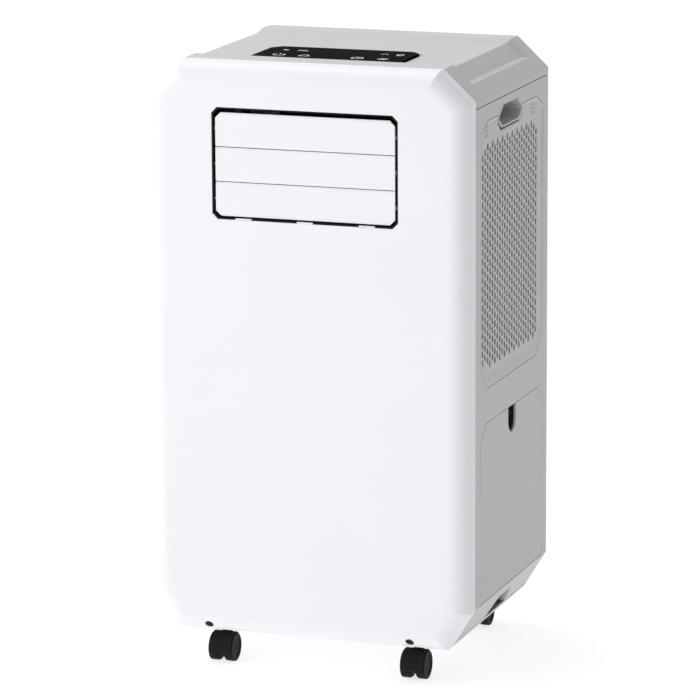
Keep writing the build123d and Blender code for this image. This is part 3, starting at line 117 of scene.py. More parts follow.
# %% Light and floor
world = bpy.data.worlds.new("white_tent")
world.use_nodes = True
sky = world.node_tree
towards = add(sky, "ShaderNodeTexCoord").outputs["Generated"]
rightward = add(sky, "ShaderNodeSeparateXYZ", {0: towards}).outputs["X"]
dimming = add(sky, "ShaderNodeMapRange", {"Value": rightward, "From Min": -0.2, "From Max": 0.9,
                                          "To Min": 1.0, "To Max": 0.12}, interpolation_type="SMOOTHSTEP")
sky.nodes["Background"].inputs["Color"].default_value = (1, 1, 1, 1)
sky.links.new(dimming.outputs["Result"], sky.nodes["Background"].inputs["Strength"])
scene.world = world


def soft_lamp(name, place, target, size, watts):
    """A square area lamp that faces a point."""
    data = bpy.data.lights.new(name, "AREA")
    data.energy = watts
    data.size = size
    lamp = bpy.data.objects.new(name, data)
    scene.collection.objects.link(lamp)
    lamp.location = place
    lamp.rotation_euler = (Vector(target) - Vector(place)).to_track_quat("-Z", "Y").to_euler()
    return lamp


soft_lamp("front_left_softbox", (-1.0, -1.3, 0.8), (-0.1, 0, 0.35), 0.8, 3.6)
soft_lamp("overhead_softbox", (-0.5, 0.3, 2.4), (0, 0, 0.6), 1.4, 11.0)
floor_mesh = bpy.data.meshes.new("studio_floor")
REACH = 15.0
floor_mesh.from_pydata([(-REACH, -REACH, 0), (REACH, -REACH, 0), (REACH, REACH, 0), (-REACH, REACH, 0)],
                       [], [(0, 1, 2, 3)])
floor = bpy.data.objects.new("studio_floor", floor_mesh)
scene.collection.objects.link(floor)

# %% [markdown]
# ## Materials from real sizes
# Every material is a small node tree on one shader, and the scale of each texture is worked out
# from a real size in millimetres.

# %% Helpers for materials
def blank_material(name):
    """A new material, its node tree and its shader."""
    material = bpy.data.materials.new(name)
    material.use_nodes = True
    tree = material.node_tree
    return material, tree, tree.nodes["Principled BSDF"]


def per_metre(size_mm):
    """Texture scale whose features are about this many millimetres apart."""
    return 1.0 / (size_mm * MM)


print("a 1 mm pattern has scale", per_metre(1.0))

# %% [markdown]
# ## Moulded plastic
# Most of what shows is injection-moulded ABS. Its colour is very even, with a faint drift where
# the melt flowed. The mould is spark-eroded, which leaves a fine grain that breaks up reflections,
# and no moulded edge is perfectly sharp: each has a small radius that catches the light.
# The grain could be sculpted, but at a fraction of a millimetre bump is the right tool. The edge
# radius comes from the Bevel node, which rounds the shading of the CAD model's exact edges, and
# the difference between the rounded and the true normal marks the edges, where handling polishes
# the grain away. There the colour is also lifted towards white: a painted highlight.

# %% Moulded plastic
def moulded(name, colour, shade, roughness, grain_mm=0.7, grain_depth=0.12, edge_mm=0.8, edge_light=0.06,
            flow_mm=90.0, sockets=None):
    """Spark-eroded moulding: even colour with slow drift, fine grain, softened edges and a painted highlight
    on them.
    """
    material, tree, shader = blank_material(name)
    place = add(tree, "ShaderNodeTexCoord").outputs["Object"]
    flow = add(tree, "ShaderNodeTexNoise", {"Vector": place, "Scale": per_metre(flow_mm), "Detail": 2.0})
    grain = add(tree, "ShaderNodeTexNoise", {"Vector": place, "Scale": per_metre(grain_mm), "Detail": 3.0,
                                             "Roughness": 0.6})
    soft = add(tree, "ShaderNodeBevel", {"Radius": edge_mm * MM}, samples=6)
    true = add(tree, "ShaderNodeNewGeometry").outputs["Normal"]
    match = add(tree, "ShaderNodeVectorMath", {0: soft.outputs["Normal"], 1: true}, operation="DOT_PRODUCT")
    edge = add(tree, "ShaderNodeMapRange", {"Value": match.outputs["Value"], "From Min": 1.0,
                                            "From Max": 0.75, "To Min": 0.0, "To Max": 1.0})
    drift = add(tree, "ShaderNodeMix", {"Factor": flow.outputs["Fac"], 6: linear(colour), 7: linear(shade)},
                data_type="RGBA")
    # painted highlight: the colour is lifted towards white along the edges, by edge_light
    painted_edge_highlight = add(tree, "ShaderNodeMath", {0: edge.outputs["Result"], 1: edge_light}, operation="MULTIPLY")
    tint = add(tree, "ShaderNodeMix", {"Factor": painted_edge_highlight.outputs[0], 6: drift.outputs[2], 7: (1, 1, 1, 1)},
               data_type="RGBA")
    matte = add(tree, "ShaderNodeMapRange", {"Value": grain.outputs["Fac"], "From Min": 0.3, "From Max": 0.7,
                                             "To Min": roughness - 0.04, "To Max": roughness + 0.05})
    polish = add(tree, "ShaderNodeMath", {0: edge.outputs["Result"], 1: -0.08, 2: matte.outputs["Result"]},
                 operation="MULTIPLY_ADD")
    bump = add(tree, "ShaderNodeBump", {"Height": grain.outputs["Fac"], "Strength": grain_depth,
                                        "Distance": 0.05 * MM, "Normal": soft.outputs["Normal"]})
    tree.links.new(tint.outputs[2], shader.inputs["Base Color"])
    tree.links.new(polish.outputs[0], shader.inputs["Roughness"])
    tree.links.new(bump.outputs["Normal"], shader.inputs["Normal"])
    for key, value in (sockets or {}).items():
        shader.inputs[key].default_value = value
    return material


finish = {}
# satin white ABS, spark-eroded: bright, with a soft sheen and no sharp reflection
finish["white_shell"] = moulded("white_ABS_satin_moulded", "F3F2F7", "F0EFF4", 0.42)
# satin light grey ABS: the same grain, darker, so the sheen shows more at a shallow angle
finish["grey_shell"] = moulded("light_grey_ABS_satin_moulded", "C4C4C8", "C1C1C5", 0.46)
# pale grey polypropylene of the base: a little waxy and lighter than the sides
finish["base_grey"] = moulded("pale_grey_polypropylene_moulded", "D2D1D6", "CDCCD1", 0.5, edge_mm=0.6)
# black ABS of the outlet liner and vents: eroded deep, so it swallows light
finish["outlet_black"] = moulded("black_ABS_eroded", "0C0C0D", "090909", 0.62, grain_depth=0.3, edge_mm=0.5,
                                 edge_light=0.02, sockets={"Specular IOR Level": 0.2})
# dark grey nylon of the casters: slightly greasy sheen, and a stronger painted highlight on the edges
finish["caster_black"] = moulded("dark_grey_nylon_moulded", "212122", "1C1C1D", 0.5, grain_mm=1.2,
                                 grain_depth=0.2, edge_mm=0.6, edge_light=0.12, flow_mm=12.0,
                                 sockets={"Specular IOR Level": 0.06})
# natural white polypropylene of the ducts and scrolls: waxy, faintly yellow
finish["duct_white"] = moulded("natural_polypropylene_moulded", "DEDDD6", "D4D3CA", 0.5, flow_mm=40.0,
                               sockets={"Subsurface Weight": 0.05})
# grey glass-filled nylon of the blower wheels: short fibres make it mottled
finish["fan_grey"] = moulded("glass_filled_nylon_moulded", "5A5C60", "4E5054", 0.55, grain_mm=0.9,
                             grain_depth=0.4, edge_mm=0.3, flow_mm=6.0)
# black moulded rubber of grommets, gland and plug: soft and dull
finish["rubber_black"] = moulded("black_rubber_moulded", "1A1A1A", "141414", 0.72, grain_mm=0.5,
                                 grain_depth=0.35, edge_mm=0.8, edge_light=0.03)
# drawn aluminium can of the capacitor
finish["capacitor_can"] = moulded("aluminium_can_drawn", "BFC0C2", "B3B4B6", 0.3, grain_mm=0.4, flow_mm=15.0,
                                  sockets={"Metallic": 1.0})
# black enamel of the compressor: thick, slightly wavy gloss
finish["shell_black_paint"] = moulded("black_enamel_sprayed", "101012", "0B0B0D", 0.25, grain_mm=2.5,
                                      grain_depth=0.25, edge_mm=1.5, edge_light=0.03,
                                      sockets={"Coat Weight": 0.5, "Coat Roughness": 0.12})
print(len(finish), "moulded and sprayed finishes")

# %% [markdown]
# ## Touch plate
# The control plate is smoked acrylic, hard coated against glare. It is nearly black, and its
# gloss is broken only by the faint film that fingertips leave, which shows as a slow change in
# roughness. The anti-glare coat takes away nearly all of the reflection, so the refractive index
# is set far below the 1.49 of bare acrylic. The symbols are white ink.

# %% Touch plate and printed symbols
plate, tree, shader = blank_material("smoked_acrylic_hard_coated")
place = add(tree, "ShaderNodeTexCoord").outputs["Object"]
film = add(tree, "ShaderNodeTexNoise", {"Vector": place, "Scale": per_metre(14.0), "Detail": 4.0})
haze = add(tree, "ShaderNodeMapRange", {"Value": film.outputs["Fac"], "From Min": 0.35, "From Max": 0.7,
                                        "To Min": 0.08, "To Max": 0.2})
deep = add(tree, "ShaderNodeMix", {"Factor": film.outputs["Fac"], 6: linear("050506"), 7: linear("08080A")},
           data_type="RGBA")
rim = add(tree, "ShaderNodeBevel", {"Radius": 0.5 * MM}, samples=6)
tree.links.new(deep.outputs[2], shader.inputs["Base Color"])
tree.links.new(haze.outputs["Result"], shader.inputs["Roughness"])
tree.links.new(rim.outputs["Normal"], shader.inputs["Normal"])
shader.inputs["IOR"].default_value = 1.007
finish["black_lens"] = plate

# screen-printed white ink: matte, with the uneven film that a screen's threads leave
ink, tree, shader = blank_material("white_ink_screen_printed")
place = add(tree, "ShaderNodeTexCoord").outputs["Object"]
weave = add(tree, "ShaderNodeTexNoise", {"Vector": place, "Scale": per_metre(0.5), "Detail": 1.0})
cover = add(tree, "ShaderNodeMix", {"Factor": weave.outputs["Fac"], 6: linear("F2F2F2"), 7: linear("D9D9DB")},
            data_type="RGBA")
tree.links.new(cover.outputs[2], shader.inputs["Base Color"])
shader.inputs["Roughness"].default_value = 0.6
print("plate and ink ready")

# %% [markdown]
# ## Metals, board, tank and filter
# Sheet and tube inside the cabinet show how they were made: hot-dip galvanised steel has
# spangles (crystals of zinc, a Voronoi pattern), drawn copper has brown oxide patches, rolled
# fin foil is bright with faint streaks, and blackened screws are dark steel. The circuit board is
# green lacquer over copper tracks, the tank is frosted polypropylene, and the filter is black
# nylon net.

# %% Metals and the rest
def metal(name, colour, shade, roughness, pattern_mm, stretch=(1, 1, 1), voronoi=False, bump_strength=0.1,
          metallic=1.0, sockets=None):
    """Metal or board whose colour, roughness and bump follow one stretched pattern."""
    material, tree, shader = blank_material(name)
    place = add(tree, "ShaderNodeTexCoord").outputs["Object"]
    turned = add(tree, "ShaderNodeMapping", {"Vector": place, "Scale": stretch}).outputs["Vector"]
    if voronoi:
        cells = add(tree, "ShaderNodeTexVoronoi", {"Vector": turned, "Scale": per_metre(pattern_mm)})
        pattern = add(tree, "ShaderNodeSeparateColor", {"Color": cells.outputs["Color"]}).outputs["Red"]
    else:
        pattern = add(tree, "ShaderNodeTexNoise", {"Vector": turned, "Scale": per_metre(pattern_mm),
                                                   "Detail": 3.0}).outputs["Fac"]
    tone = add(tree, "ShaderNodeMix", {"Factor": pattern, 6: linear(colour), 7: linear(shade)},
               data_type="RGBA")
    gloss = add(tree, "ShaderNodeMapRange", {"Value": pattern, "From Min": 0.2, "From Max": 0.8,
                                             "To Min": roughness - 0.06, "To Max": roughness + 0.08})
    soft = add(tree, "ShaderNodeBevel", {"Radius": 0.4 * MM}, samples=4)
    bump = add(tree, "ShaderNodeBump", {"Height": pattern, "Strength": bump_strength, "Distance": 0.05 * MM,
                                        "Normal": soft.outputs["Normal"]})
    tree.links.new(tone.outputs[2], shader.inputs["Base Color"])
    tree.links.new(gloss.outputs["Result"], shader.inputs["Roughness"])
    tree.links.new(bump.outputs["Normal"], shader.inputs["Normal"])
    shader.inputs["Metallic"].default_value = metallic
    for key, value in (sockets or {}).items():
        shader.inputs[key].default_value = value
    return material


# zinc spangle about 9 mm across, each crystal a slightly different grey
finish["galvanised"] = metal("galvanised_steel_hot_dipped", "B4B8BA", "9A9EA0", 0.42, 9.0, voronoi=True)
# drawn copper: patches of oxide
finish["copper"] = metal("copper_tube_drawn", "B87450", "8A4E33", 0.32, 7.0)
# rolled foil: streaks across the roll
finish["fin_aluminium"] = metal("aluminium_foil_rolled", "CBCDD0", "BDBFC2", 0.34, 3.0, stretch=(1, 1, 8))
# zinc-plated motor cans: drawn, so the grain runs round them
finish["motor_steel"] = metal("zinc_plated_steel_drawn", "A3A5A8", "8F9194", 0.36, 1.2, stretch=(0.1, 1, 1))
# black oxide: dark grey, with a metal glint
finish["screw_steel"] = metal("blackened_steel_oxidised", "3A3A3C", "262628", 0.4, 1.5, bump_strength=0.2)
# solder mask over tracks, which show as a lighter green
finish["board_green"] = metal("circuit_board_lacquered", "1C5A34", "123F25", 0.35, 4.0, stretch=(1, 1, 0.2),
                              voronoi=True, metallic=0.0)
# frosted polypropylene: lets light through but no image
finish["tank_clear"] = metal("frosted_polypropylene_moulded", "DDE3E6", "D3DADE", 0.4, 30.0, metallic=0.0,
                             sockets={"Transmission Weight": 0.6, "IOR": 1.49})
# nylon net: the weave repeats every 2.4 mm, far coarser than a real one, so that it shows
finish["mesh_black"] = metal("black_nylon_woven", "1E1E20", "131314", 0.55, 2.4, metallic=0.0,
                             bump_strength=0.4)

# %% [markdown]
# ## Floor
# A pale, plain sweep of paper with a faint tooth. It is lit from below a little, as on a light
# table, which keeps the shadow under the cabinet pale.

# %% Floor finish
paper, tree, shader = blank_material("white_backdrop_paper")
place = add(tree, "ShaderNodeTexCoord").outputs["Object"]
tooth = add(tree, "ShaderNodeTexNoise", {"Vector": place, "Scale": per_metre(3.0), "Detail": 2.0})
tone = add(tree, "ShaderNodeMix", {"Factor": tooth.outputs["Fac"], 6: linear("A8A8A8"), 7: linear("A2A2A2")},
           data_type="RGBA")
tree.links.new(tone.outputs[2], shader.inputs["Base Color"])
shader.inputs["Roughness"].default_value = 0.9
shader.inputs["Specular IOR Level"].default_value = 0.1
shader.inputs["Emission Color"].default_value = (1, 1, 1, 1)
shader.inputs["Emission Strength"].default_value = 0.75
floor.data.materials.append(paper)

# %% [markdown]
# ## Dress the CAD nodes
# The record says which material slot each node belongs to. Giving a node its finish changes
# only its material slot, so its mesh stays as the CAD model made it.

# %% Dress the nodes
slot_of = {part["node"]: part["material_slot"] for part in frame["record"]["subparts"]}
for name, item in frame["nodes"].items():
    item.data.materials.clear()
    item.data.materials.append(finish[slot_of[name]])
print(len(slot_of), "nodes dressed")

# %% [markdown]
# ## Repeating pieces with Geometry Nodes
# Fins, threads, tube runs and screws repeat one small shape many times. A node tree places that
# shape on points and makes the result real. The points are a loose mesh whose attributes say how
# long each copy is or which way it faces. Two helpers do the rest: one sets up a tree with named
# inputs, and one runs it and keeps a plain mesh.

# %% Helpers for Geometry Nodes
def new_tree(name, sizes):
    """A geometry tree with a Geometry input and output and named size inputs."""
    tree = bpy.data.node_groups.new(name, "GeometryNodeTree")
    tree.interface.new_socket("Geometry", in_out="INPUT", socket_type="NodeSocketGeometry")
    for label, kind in sizes:
        tree.interface.new_socket(label, in_out="INPUT", socket_type="NodeSocket" + kind)
    tree.interface.new_socket("Material", in_out="INPUT", socket_type="NodeSocketMaterial")
    tree.interface.new_socket("Geometry", in_out="OUTPUT", socket_type="NodeSocketGeometry")
    return tree, add(tree, "NodeGroupInput").outputs


def close_tree(tree, geometry, given):
    """End a tree the way the export needs: real geometry with its material set."""
    real = add(tree, "GeometryNodeRealizeInstances", {"Geometry": geometry})
    dressed = add(tree, "GeometryNodeSetMaterial", {"Geometry": real.outputs[0],
                                                    "Material": given["Material"]})
    add(tree, "NodeGroupOutput", {"Geometry": dressed.outputs[0]})


def run_tree(name, tree, points, vectors, body, values, material):
    """Run a tree on points with one vector attribute each, and keep the result as a plain mesh."""
    seed = bpy.data.meshes.new(name + "_points")
    seed.from_pydata(points, [], [])
    layer = seed.attributes.new("along", "FLOAT_VECTOR", "POINT")
    layer.data.foreach_set("vector", [c for vector in vectors for c in vector])
    maker = bpy.data.objects.new(name + "_maker", seed)
    scene.collection.objects.link(maker)
    modifier = maker.modifiers.new("maker", "NODES")
    modifier.node_group = tree
    for item in tree.interface.items_tree:
        if item.in_out == "INPUT" and item.name in values:
            modifier[item.identifier] = values[item.name]
        if item.in_out == "INPUT" and item.name == "Material":
            modifier[item.identifier] = material
    graph = bpy.context.evaluated_depsgraph_get()
    mesh = bpy.data.meshes.new_from_object(maker.evaluated_get(graph), depsgraph=graph)
    bpy.data.objects.remove(maker)
    return keep(name, mesh, body, material)


def keep(name, mesh, body, material):
    """Put a finished mesh in the scene at the origin, riding on its body."""
    mesh.name = name
    mesh.materials.clear()
    mesh.materials.append(material)
    for stale in [a.name for a in mesh.attributes if a.name == "along"]:
        mesh.attributes.remove(mesh.attributes[stale])
    piece = bpy.data.objects.new(name, mesh)
    scene.collection.objects.link(piece)
    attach(piece, body)
    print(name, len(mesh.polygons), "faces")
    return piece


# %% Tree: bars
bar_tree, given = new_tree("bars_on_points", [("Thickness", "Float")])
along = add(bar_tree, "GeometryNodeInputNamedAttribute", {"Name": "along"}, data_type="FLOAT_VECTOR")
section = add(bar_tree, "ShaderNodeCombineXYZ", {"X": given["Thickness"], "Y": given["Thickness"],
                                                 "Z": given["Thickness"]})
size = add(bar_tree, "ShaderNodeVectorMath", {0: along.outputs[0], 1: section.outputs[0]}, operation="ADD")
unit_bar = add(bar_tree, "GeometryNodeMeshCube", {"Size": (1, 1, 1)})
bars = add(bar_tree, "GeometryNodeInstanceOnPoints", {"Points": given["Geometry"],
                                                      "Instance": unit_bar.outputs["Mesh"],
                                                      "Scale": size.outputs[0]})
close_tree(bar_tree, bars.outputs[0], given)

# %% Tree: rods
rod_tree, given = new_tree("rods_on_points", [("Radius", "Float"), ("Sides", "Int")])
along = add(rod_tree, "GeometryNodeInputNamedAttribute", {"Name": "along"}, data_type="FLOAT_VECTOR")
turn = add(rod_tree, "FunctionNodeAlignRotationToVector", {"Vector": along.outputs[0]}, axis="Z")
length = add(rod_tree, "ShaderNodeVectorMath", {0: along.outputs[0]}, operation="LENGTH")
stretch = add(rod_tree, "ShaderNodeCombineXYZ", {"X": 1.0, "Y": 1.0, "Z": length.outputs["Value"]})
unit_rod = add(rod_tree, "GeometryNodeMeshCylinder", {"Vertices": given["Sides"], "Radius": given["Radius"],
                                                      "Depth": 1.0})
rods = add(rod_tree, "GeometryNodeInstanceOnPoints", {"Points": given["Geometry"],
                                                      "Instance": unit_rod.outputs["Mesh"],
                                                      "Rotation": turn.outputs[0],
                                                      "Scale": stretch.outputs[0]})
close_tree(rod_tree, rods.outputs[0], given)
print("trees:", [group.name for group in bpy.data.node_groups])

# %% [markdown]
# ## Heat exchangers
# A coil is a stack of thin aluminium fins pressed onto copper tubes. The CAD model has one
# grooved block in its place. Here each coil gets its real stack, with a galvanised plate at
# both ends and tube runs between them. Real fins stand 1.3 mm apart; 2.2 mm keeps the count
# modest and still reads as a dense stack.

# %% Coils
FIN_STEP, FIN_THICK, END_PLATE, TUBE_RADIUS = 2.2 * MM, 0.25 * MM, 1.2 * MM, 3.5 * MM
for node, label in (("evap_coil", "evaporator"), ("cond_coil", "condenser")):
    low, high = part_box(node)
    depth, span, tall = high - low
    count = int((span - 2 * END_PLATE) / FIN_STEP)
    mid = (low + high) / 2
    places = [(mid.x, mid.y + (i - (count - 1) / 2) * FIN_STEP, mid.z) for i in range(count)]
    fins = run_tree(label + "_fins", bar_tree, places, [(depth - 3 * MM, 0, tall - 2 * MM)] * count,
                    "cabinet", {"Thickness": FIN_THICK}, finish["fin_aluminium"])
    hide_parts(node)
    ends = [(mid.x, y, mid.z) for y in (low.y + END_PLATE / 2, high.y - END_PLATE / 2)]
    run_tree(label + "_end_plates", bar_tree, ends, [(depth - END_PLATE, 0, tall - END_PLATE)] * 2, "cabinet",
             {"Thickness": END_PLATE}, finish["galvanised"])
    rows = int(tall / (21 * MM))
    runs = [(mid.x + side * 6 * MM, mid.y, low.z + (row + 0.5) * tall / rows)
            for row in range(rows) for side in (-1, 1)]
    run_tree(label + "_tube_runs", rod_tree, runs, [(0, span - 0.2 * MM, 0)] * len(runs), "cabinet",
             {"Radius": TUBE_RADIUS, "Sides": 20}, finish["copper"])

# %% [markdown]
# ## Dust filter
# Behind the slotted hatch clips a net in a frame. The CAD model's frame and film stay, and
# threads are laid over both faces of the film, each cut to the length that its row needs where
# the frame's corners are sloped.

# %% Filter threads
low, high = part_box("filter_mesh")
THREAD, THREAD_STEP, FRAME_BAND = 0.45 * MM, 2.4 * MM, 5.4 * MM
CUT_WIDE, CUT_TOP, CUT_LOW = 24 * MM, 13 * MM, 24 * MM
y0, y1, z0, z1 = low.y + FRAME_BAND, high.y - FRAME_BAND, low.z + FRAME_BAND, high.z - FRAME_BAND
film_x = low.x + 1.3 * MM
handle_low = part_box("handle_cups")[0].z - 7.6 * MM
handle_y0, handle_y1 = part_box("handle_cups")[0].y - 6 * MM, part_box("handle_cups")[1].y + 6 * MM
places, lengths = [], []
for i in range(int((y1 - y0) / THREAD_STEP)):
    y = y0 + (i + 0.5) * THREAD_STEP
    over = max(0.0, CUT_WIDE - min(y - y0, y1 - y))
    bottom, top = z0 + over * CUT_LOW / CUT_WIDE, z1 - over * CUT_TOP / CUT_WIDE
    top = min(top, handle_low) if handle_y0 < y < handle_y1 else top
    places.append((film_x - 0.25 * MM, y, (bottom + top) / 2))
    lengths.append((0, 0, top - bottom))
for i in range(int((z1 - z0) / THREAD_STEP)):
    z = z0 + (i + 0.5) * THREAD_STEP
    cut = max(0.0, CUT_LOW - (z - z0), (CUT_TOP - (z1 - z)) * CUT_WIDE / CUT_TOP)
    runs = [(y0 + cut, y1 - cut)]
    if z > handle_low:
        runs = [(y0 + cut, handle_y0), (handle_y1, y1 - cut)]
    for a, b in runs:
        places.append((film_x + 0.25 * MM, (a + b) / 2, z))
        lengths.append((0, b - a, 0))
run_tree("filter_threads", bar_tree, places, lengths, "filter", {"Thickness": THREAD}, finish["mesh_black"])

# %% [markdown]
# ## Screws
# The screws are the only fasteners in sight, so their heads get a dome and a driver's cross. The
# tree stacks three extrusions of a disc, each a little smaller, into a pan head. The cross is cut
# out with a Boolean, whose exact solver copes with the two cutters overlapping. A copy then goes
# on every point, turned to face outwards.

# %% Tree: pan-head screws
SIZES = [("Radius", "Float"), ("Height", "Float"), ("Cross", "Float"), ("Slot", "Float")]
screw_tree, given = new_tree("pan_head_screws", SIZES)
shape = add(screw_tree, "GeometryNodeMeshCylinder", {"Vertices": 40, "Radius": given["Radius"],
                                                     "Depth": given["Height"]})
body_out = shape.outputs["Mesh"]
top = shape.outputs["Top"]
for share, shrink in ((0.22, 0.93), (0.14, 0.84), (0.08, 0.7)):
    rise = add(screw_tree, "ShaderNodeMath", {0: given["Height"], 1: share}, operation="MULTIPLY")
    raised = add(screw_tree, "GeometryNodeExtrudeMesh", {"Mesh": body_out, "Selection": top,
                                                         "Offset Scale": rise.outputs[0]}, mode="FACES")
    small = add(screw_tree, "GeometryNodeScaleElements", {"Geometry": raised.outputs["Mesh"],
                                                          "Selection": raised.outputs["Top"],
                                                          "Scale": shrink})
    body_out, top = small.outputs[0], raised.outputs["Top"]
deep = add(screw_tree, "ShaderNodeMath", {0: given["Height"], 1: 1.4}, operation="MULTIPLY")
bars = []
for x_size, y_size in (("Cross", "Slot"), ("Slot", "Cross")):
    box_size = add(screw_tree, "ShaderNodeCombineXYZ", {"X": given[x_size], "Y": given[y_size],
                                                        "Z": deep.outputs[0]})
    bars.append(add(screw_tree, "GeometryNodeMeshCube", {"Size": box_size.outputs[0]}))
lift = add(screw_tree, "ShaderNodeCombineXYZ", {"X": 0.0, "Y": 0.0, "Z": given["Height"]})
cutters = [add(screw_tree, "GeometryNodeTransform", {"Geometry": bar.outputs["Mesh"],
                                                     "Translation": lift.outputs[0]}) for bar in bars]
cut = add(screw_tree, "GeometryNodeMeshBoolean", {"Mesh 1": body_out, "Self Intersection": True},
          operation="DIFFERENCE", solver="EXACT")
for cutter in cutters:
    screw_tree.links.new(cutter.outputs[0], cut.inputs["Mesh 2"])
along = add(screw_tree, "GeometryNodeInputNamedAttribute", {"Name": "along"}, data_type="FLOAT_VECTOR")
turn = add(screw_tree, "FunctionNodeAlignRotationToVector", {"Vector": along.outputs[0]}, axis="Z")
heads = add(screw_tree, "GeometryNodeInstanceOnPoints", {"Points": given["Geometry"],
                                                         "Instance": cut.outputs["Mesh"],
                                                         "Rotation": turn.outputs[0]})
close_tree(screw_tree, heads.outputs[0], given)

# %% Screws
# The heads sit exactly where the CAD model's do, so their places are read off its mesh: every
# loose cluster of vertices is one screw.
def clusters(node, reach):
    """The vertices of each separate lump in a CAD node."""
    lumps = []
    for vertex in frame["nodes"][node].data.vertices:
        for lump in lumps:
            if (lump[0] - vertex.co).length < reach:
                lump[1].append(vertex.co.copy())
                break
        else:
            lumps.append((vertex.co.copy(), [vertex.co.copy()]))
    return [points for _, points in lumps]


def middle(points):
    """The middle of the box round some points."""
    return Vector([(max(p[i] for p in points) + min(p[i] for p in points)) / 2 for i in range(3)])


REAR_SINK, FOOT_SINK = 1.15 * MM, 0.1 * MM      # how deep a head's origin sits
FOOT_TILT = radians(36.0)                       # the front screws lie on the rounded lower edge
rear_places, foot_places = [], []
for points in clusters("shell_screws", 12 * MM):
    place = middle(points)
    if place.y > 0:
        place.y = max(p.y for p in points)
        rear_places.append(place)
    else:
        foot_places.append(place)
facing = Vector((0, -cos(FOOT_TILT), -sin(FOOT_TILT)))
rear_heads = run_tree("rear_screw_heads", screw_tree, [p - Vector((0, REAR_SINK, 0)) for p in rear_places],
                      [(0, 1, 0)] * len(rear_places), "cabinet",
                      {"Radius": 3.5 * MM, "Height": 0.8 * MM, "Cross": 3.8 * MM, "Slot": 0.9 * MM},
                      finish["screw_steel"])
run_tree("foot_screw_heads", screw_tree, [p - facing * FOOT_SINK for p in foot_places],
         [facing] * len(foot_places), "cabinet",
         {"Radius": 4.5 * MM, "Height": 0.9 * MM, "Cross": 5.4 * MM, "Slot": 1.2 * MM},
         finish["screw_steel"])
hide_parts("shell_screws")
print(len(rear_places), "rear and", len(foot_places), "foot screws")

# %% [markdown]
# ## Finger guard in the exhaust
# Behind the hose collar a wire guard keeps fingers out of the blower: concentric rings welded to
# spokes. One tree makes the rings, by sweeping a small circle round circles of growing radius.

# %% Finger guard
ring_tree, given = new_tree("guard_rings", [("Rings", "Int"), ("Step", "Float"), ("Wire", "Float")])
start = add(ring_tree, "GeometryNodeMeshLine", {"Count": given["Rings"], "Offset": (0, 0, 0)})
loop = add(ring_tree, "GeometryNodeCurvePrimitiveCircle", {"Resolution": 64, "Radius": given["Step"]})
order = add(ring_tree, "GeometryNodeInputIndex")
growth = add(ring_tree, "ShaderNodeMath", {0: order.outputs[0], 1: 1.0}, operation="ADD")
rings = add(ring_tree, "GeometryNodeInstanceOnPoints", {"Points": start.outputs[0],
                                                        "Instance": loop.outputs[0],
                                                        "Scale": growth.outputs[0]})
real = add(ring_tree, "GeometryNodeRealizeInstances", {"Geometry": rings.outputs[0]})
wire = add(ring_tree, "GeometryNodeCurvePrimitiveCircle", {"Resolution": 10, "Radius": given["Wire"]})
swept = add(ring_tree, "GeometryNodeCurveToMesh", {"Curve": real.outputs[0],
                                                   "Profile Curve": wire.outputs[0]})
place = add(ring_tree, "GeometryNodeInstanceOnPoints", {"Points": given["Geometry"],
                                                        "Instance": swept.outputs[0],
                                                        "Rotation": (pi / 2, 0, 0)})
close_tree(ring_tree, place.outputs[0], given)
RINGS, RING_STEP, WIRE, SPOKE_RADIUS, SPOKE_LENGTH = 5, 11.0 * MM, 0.9 * MM, 1.0 * MM, 116 * MM
low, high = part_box("exhaust_collar")
guard = Vector(((low.x + high.x) / 2, low.y - 2.5 * MM, (low.z + high.z) / 2))
run_tree("exhaust_guard_rings", ring_tree, [guard], [(0, 1, 0)], "cabinet",
         {"Rings": RINGS, "Step": RING_STEP, "Wire": WIRE}, finish["galvanised"])
spokes = [Vector((cos(a), 0, sin(a))) * SPOKE_LENGTH for a in (radians(30), radians(90), radians(150))]
run_tree("exhaust_guard_spokes", rod_tree, [guard - Vector((0, 1.5 * MM, 0))] * 3, spokes, "cabinet",
         {"Radius": SPOKE_RADIUS, "Sides": 12}, finish["galvanised"])

# %% [markdown]
# ## Printed key symbols
# The keys on the plate are printed symbols, not buttons: power, fan, timer and mode in front,
# and four small indicators behind. Each is drawn from short flat strokes, a fraction of a
# millimetre thick, just above the plate. The symbols are generic ones that any appliance has.

# %% Symbol strokes
def stroke(bm, points, width, z, closed=False):
    """A flat ribbon of even width along a list of (x, y) points."""
    spots = [Vector((x, y)) for x, y in points]
    rims = []
    for i, spot in enumerate(spots):
        before = spots[i - 1] if i or closed else spot
        after = spots[(i + 1) % len(spots)] if i + 1 < len(spots) or closed else spot
        side = (after - before).normalized().orthogonal() * width / 2
        rims.append([bm.verts.new((*(spot + side), z)), bm.verts.new((*(spot - side), z))])
    for i in range(len(rims) if closed else len(rims) - 1):
        a, b = rims[i], rims[(i + 1) % len(rims)]
        bm.faces.new((a[0], a[1], b[1], b[0]))


def arc(x, y, radius, start, end, steps=20):
    """Points along an arc, between two angles in degrees."""
    return [(x + radius * cos(radians(start + (end - start) * i / steps)),
             y + radius * sin(radians(start + (end - start) * i / steps))) for i in range(steps + 1)]


def star(x, y, radius, arms):
    """Lines that cross at one point."""
    turns = [pi * i / arms for i in range(arms)]
    return [[(x - radius * cos(t), y - radius * sin(t)), (x + radius * cos(t), y + radius * sin(t))]
            for t in turns]


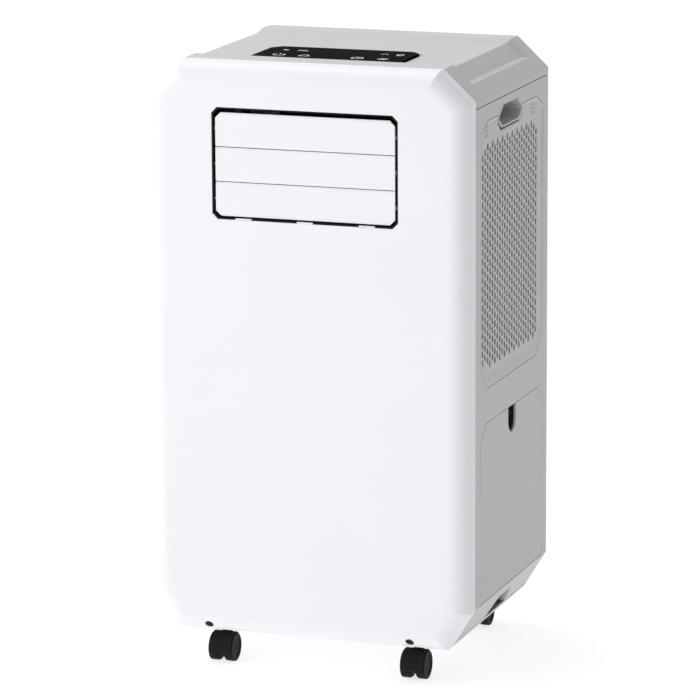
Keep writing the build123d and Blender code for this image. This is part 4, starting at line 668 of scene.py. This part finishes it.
low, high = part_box("control_lens")
S = 1.3 * MM                    # the symbols' unit of size
INK_WIDTH, INK_THICK, INK_LIFT = 1.5 * MM, 0.06 * MM, 0.1 * MM
pen = bmesh.new()
ink_z = high.z + INK_LIFT
mid_x, front_row, rear_row = (low.x + high.x) / 2, low.y + 14 * MM, low.y + 46 * MM


def draw(lines):
    """Ink some lines; one that ends where it starts becomes a closed ring."""
    for points in lines:
        ring = (Vector(points[0]) - Vector(points[-1])).length < 0.001 * MM
        stroke(pen, points[:-1] if ring else points, INK_WIDTH, ink_z, closed=ring)


# power, fan, timer and mode, along the front row
x, y = mid_x - 56 * MM, front_row
draw([arc(x, y, 4.6 * S, 125, 415), [(x, y + 1.5 * S), (x, y + 5.6 * S)]])
x = mid_x - 28 * MM
draw([arc(x + 2.2 * S * cos(t), y + 2.2 * S * sin(t), 2.2 * S, 180 * t / pi - 120, 180 * t / pi + 90)
      for t in (pi / 2, pi * 7 / 6, pi * 11 / 6)])
x = mid_x + 30 * MM
draw([arc(x, y, 4.6 * S, 0, 360), [(x, y + 3 * S), (x, y), (x + 2.2 * S, y)]])
x = mid_x + 58 * MM
draw(star(x, y, 4.8 * S, 3))
# indicators, along the rear row
for x, width in ((mid_x - 60 * MM, 5.0), (mid_x - 41 * MM, 9.0)):
    draw([[(x - width * S / 2, rear_row), (x + width * S / 2, rear_row)],
          [(x - width * S / 2, rear_row + 2.4 * S), (x + width * S / 3, rear_row + 2.4 * S)]])
x = mid_x + 49 * MM
draw([[(x - 3 * S, rear_row), (x, rear_row + 3 * S), (x + 3 * S, rear_row)]])
x = mid_x + 66 * MM
draw([arc(x, rear_row + 1 * S, 2.6 * S, 0, 360),
      [(x - 2 * S, rear_row - 3.4 * S), (x + 2 * S, rear_row - 3.4 * S)]])
pen.normal_update()
bmesh.ops.solidify(pen, geom=pen.faces[:], thickness=INK_THICK)
bmesh.ops.recalc_face_normals(pen, faces=pen.faces[:])
ink_mesh = bpy.data.meshes.new("key_symbols")
pen.to_mesh(ink_mesh)
pen.free()
keep("key_symbols", ink_mesh, "cabinet", ink)
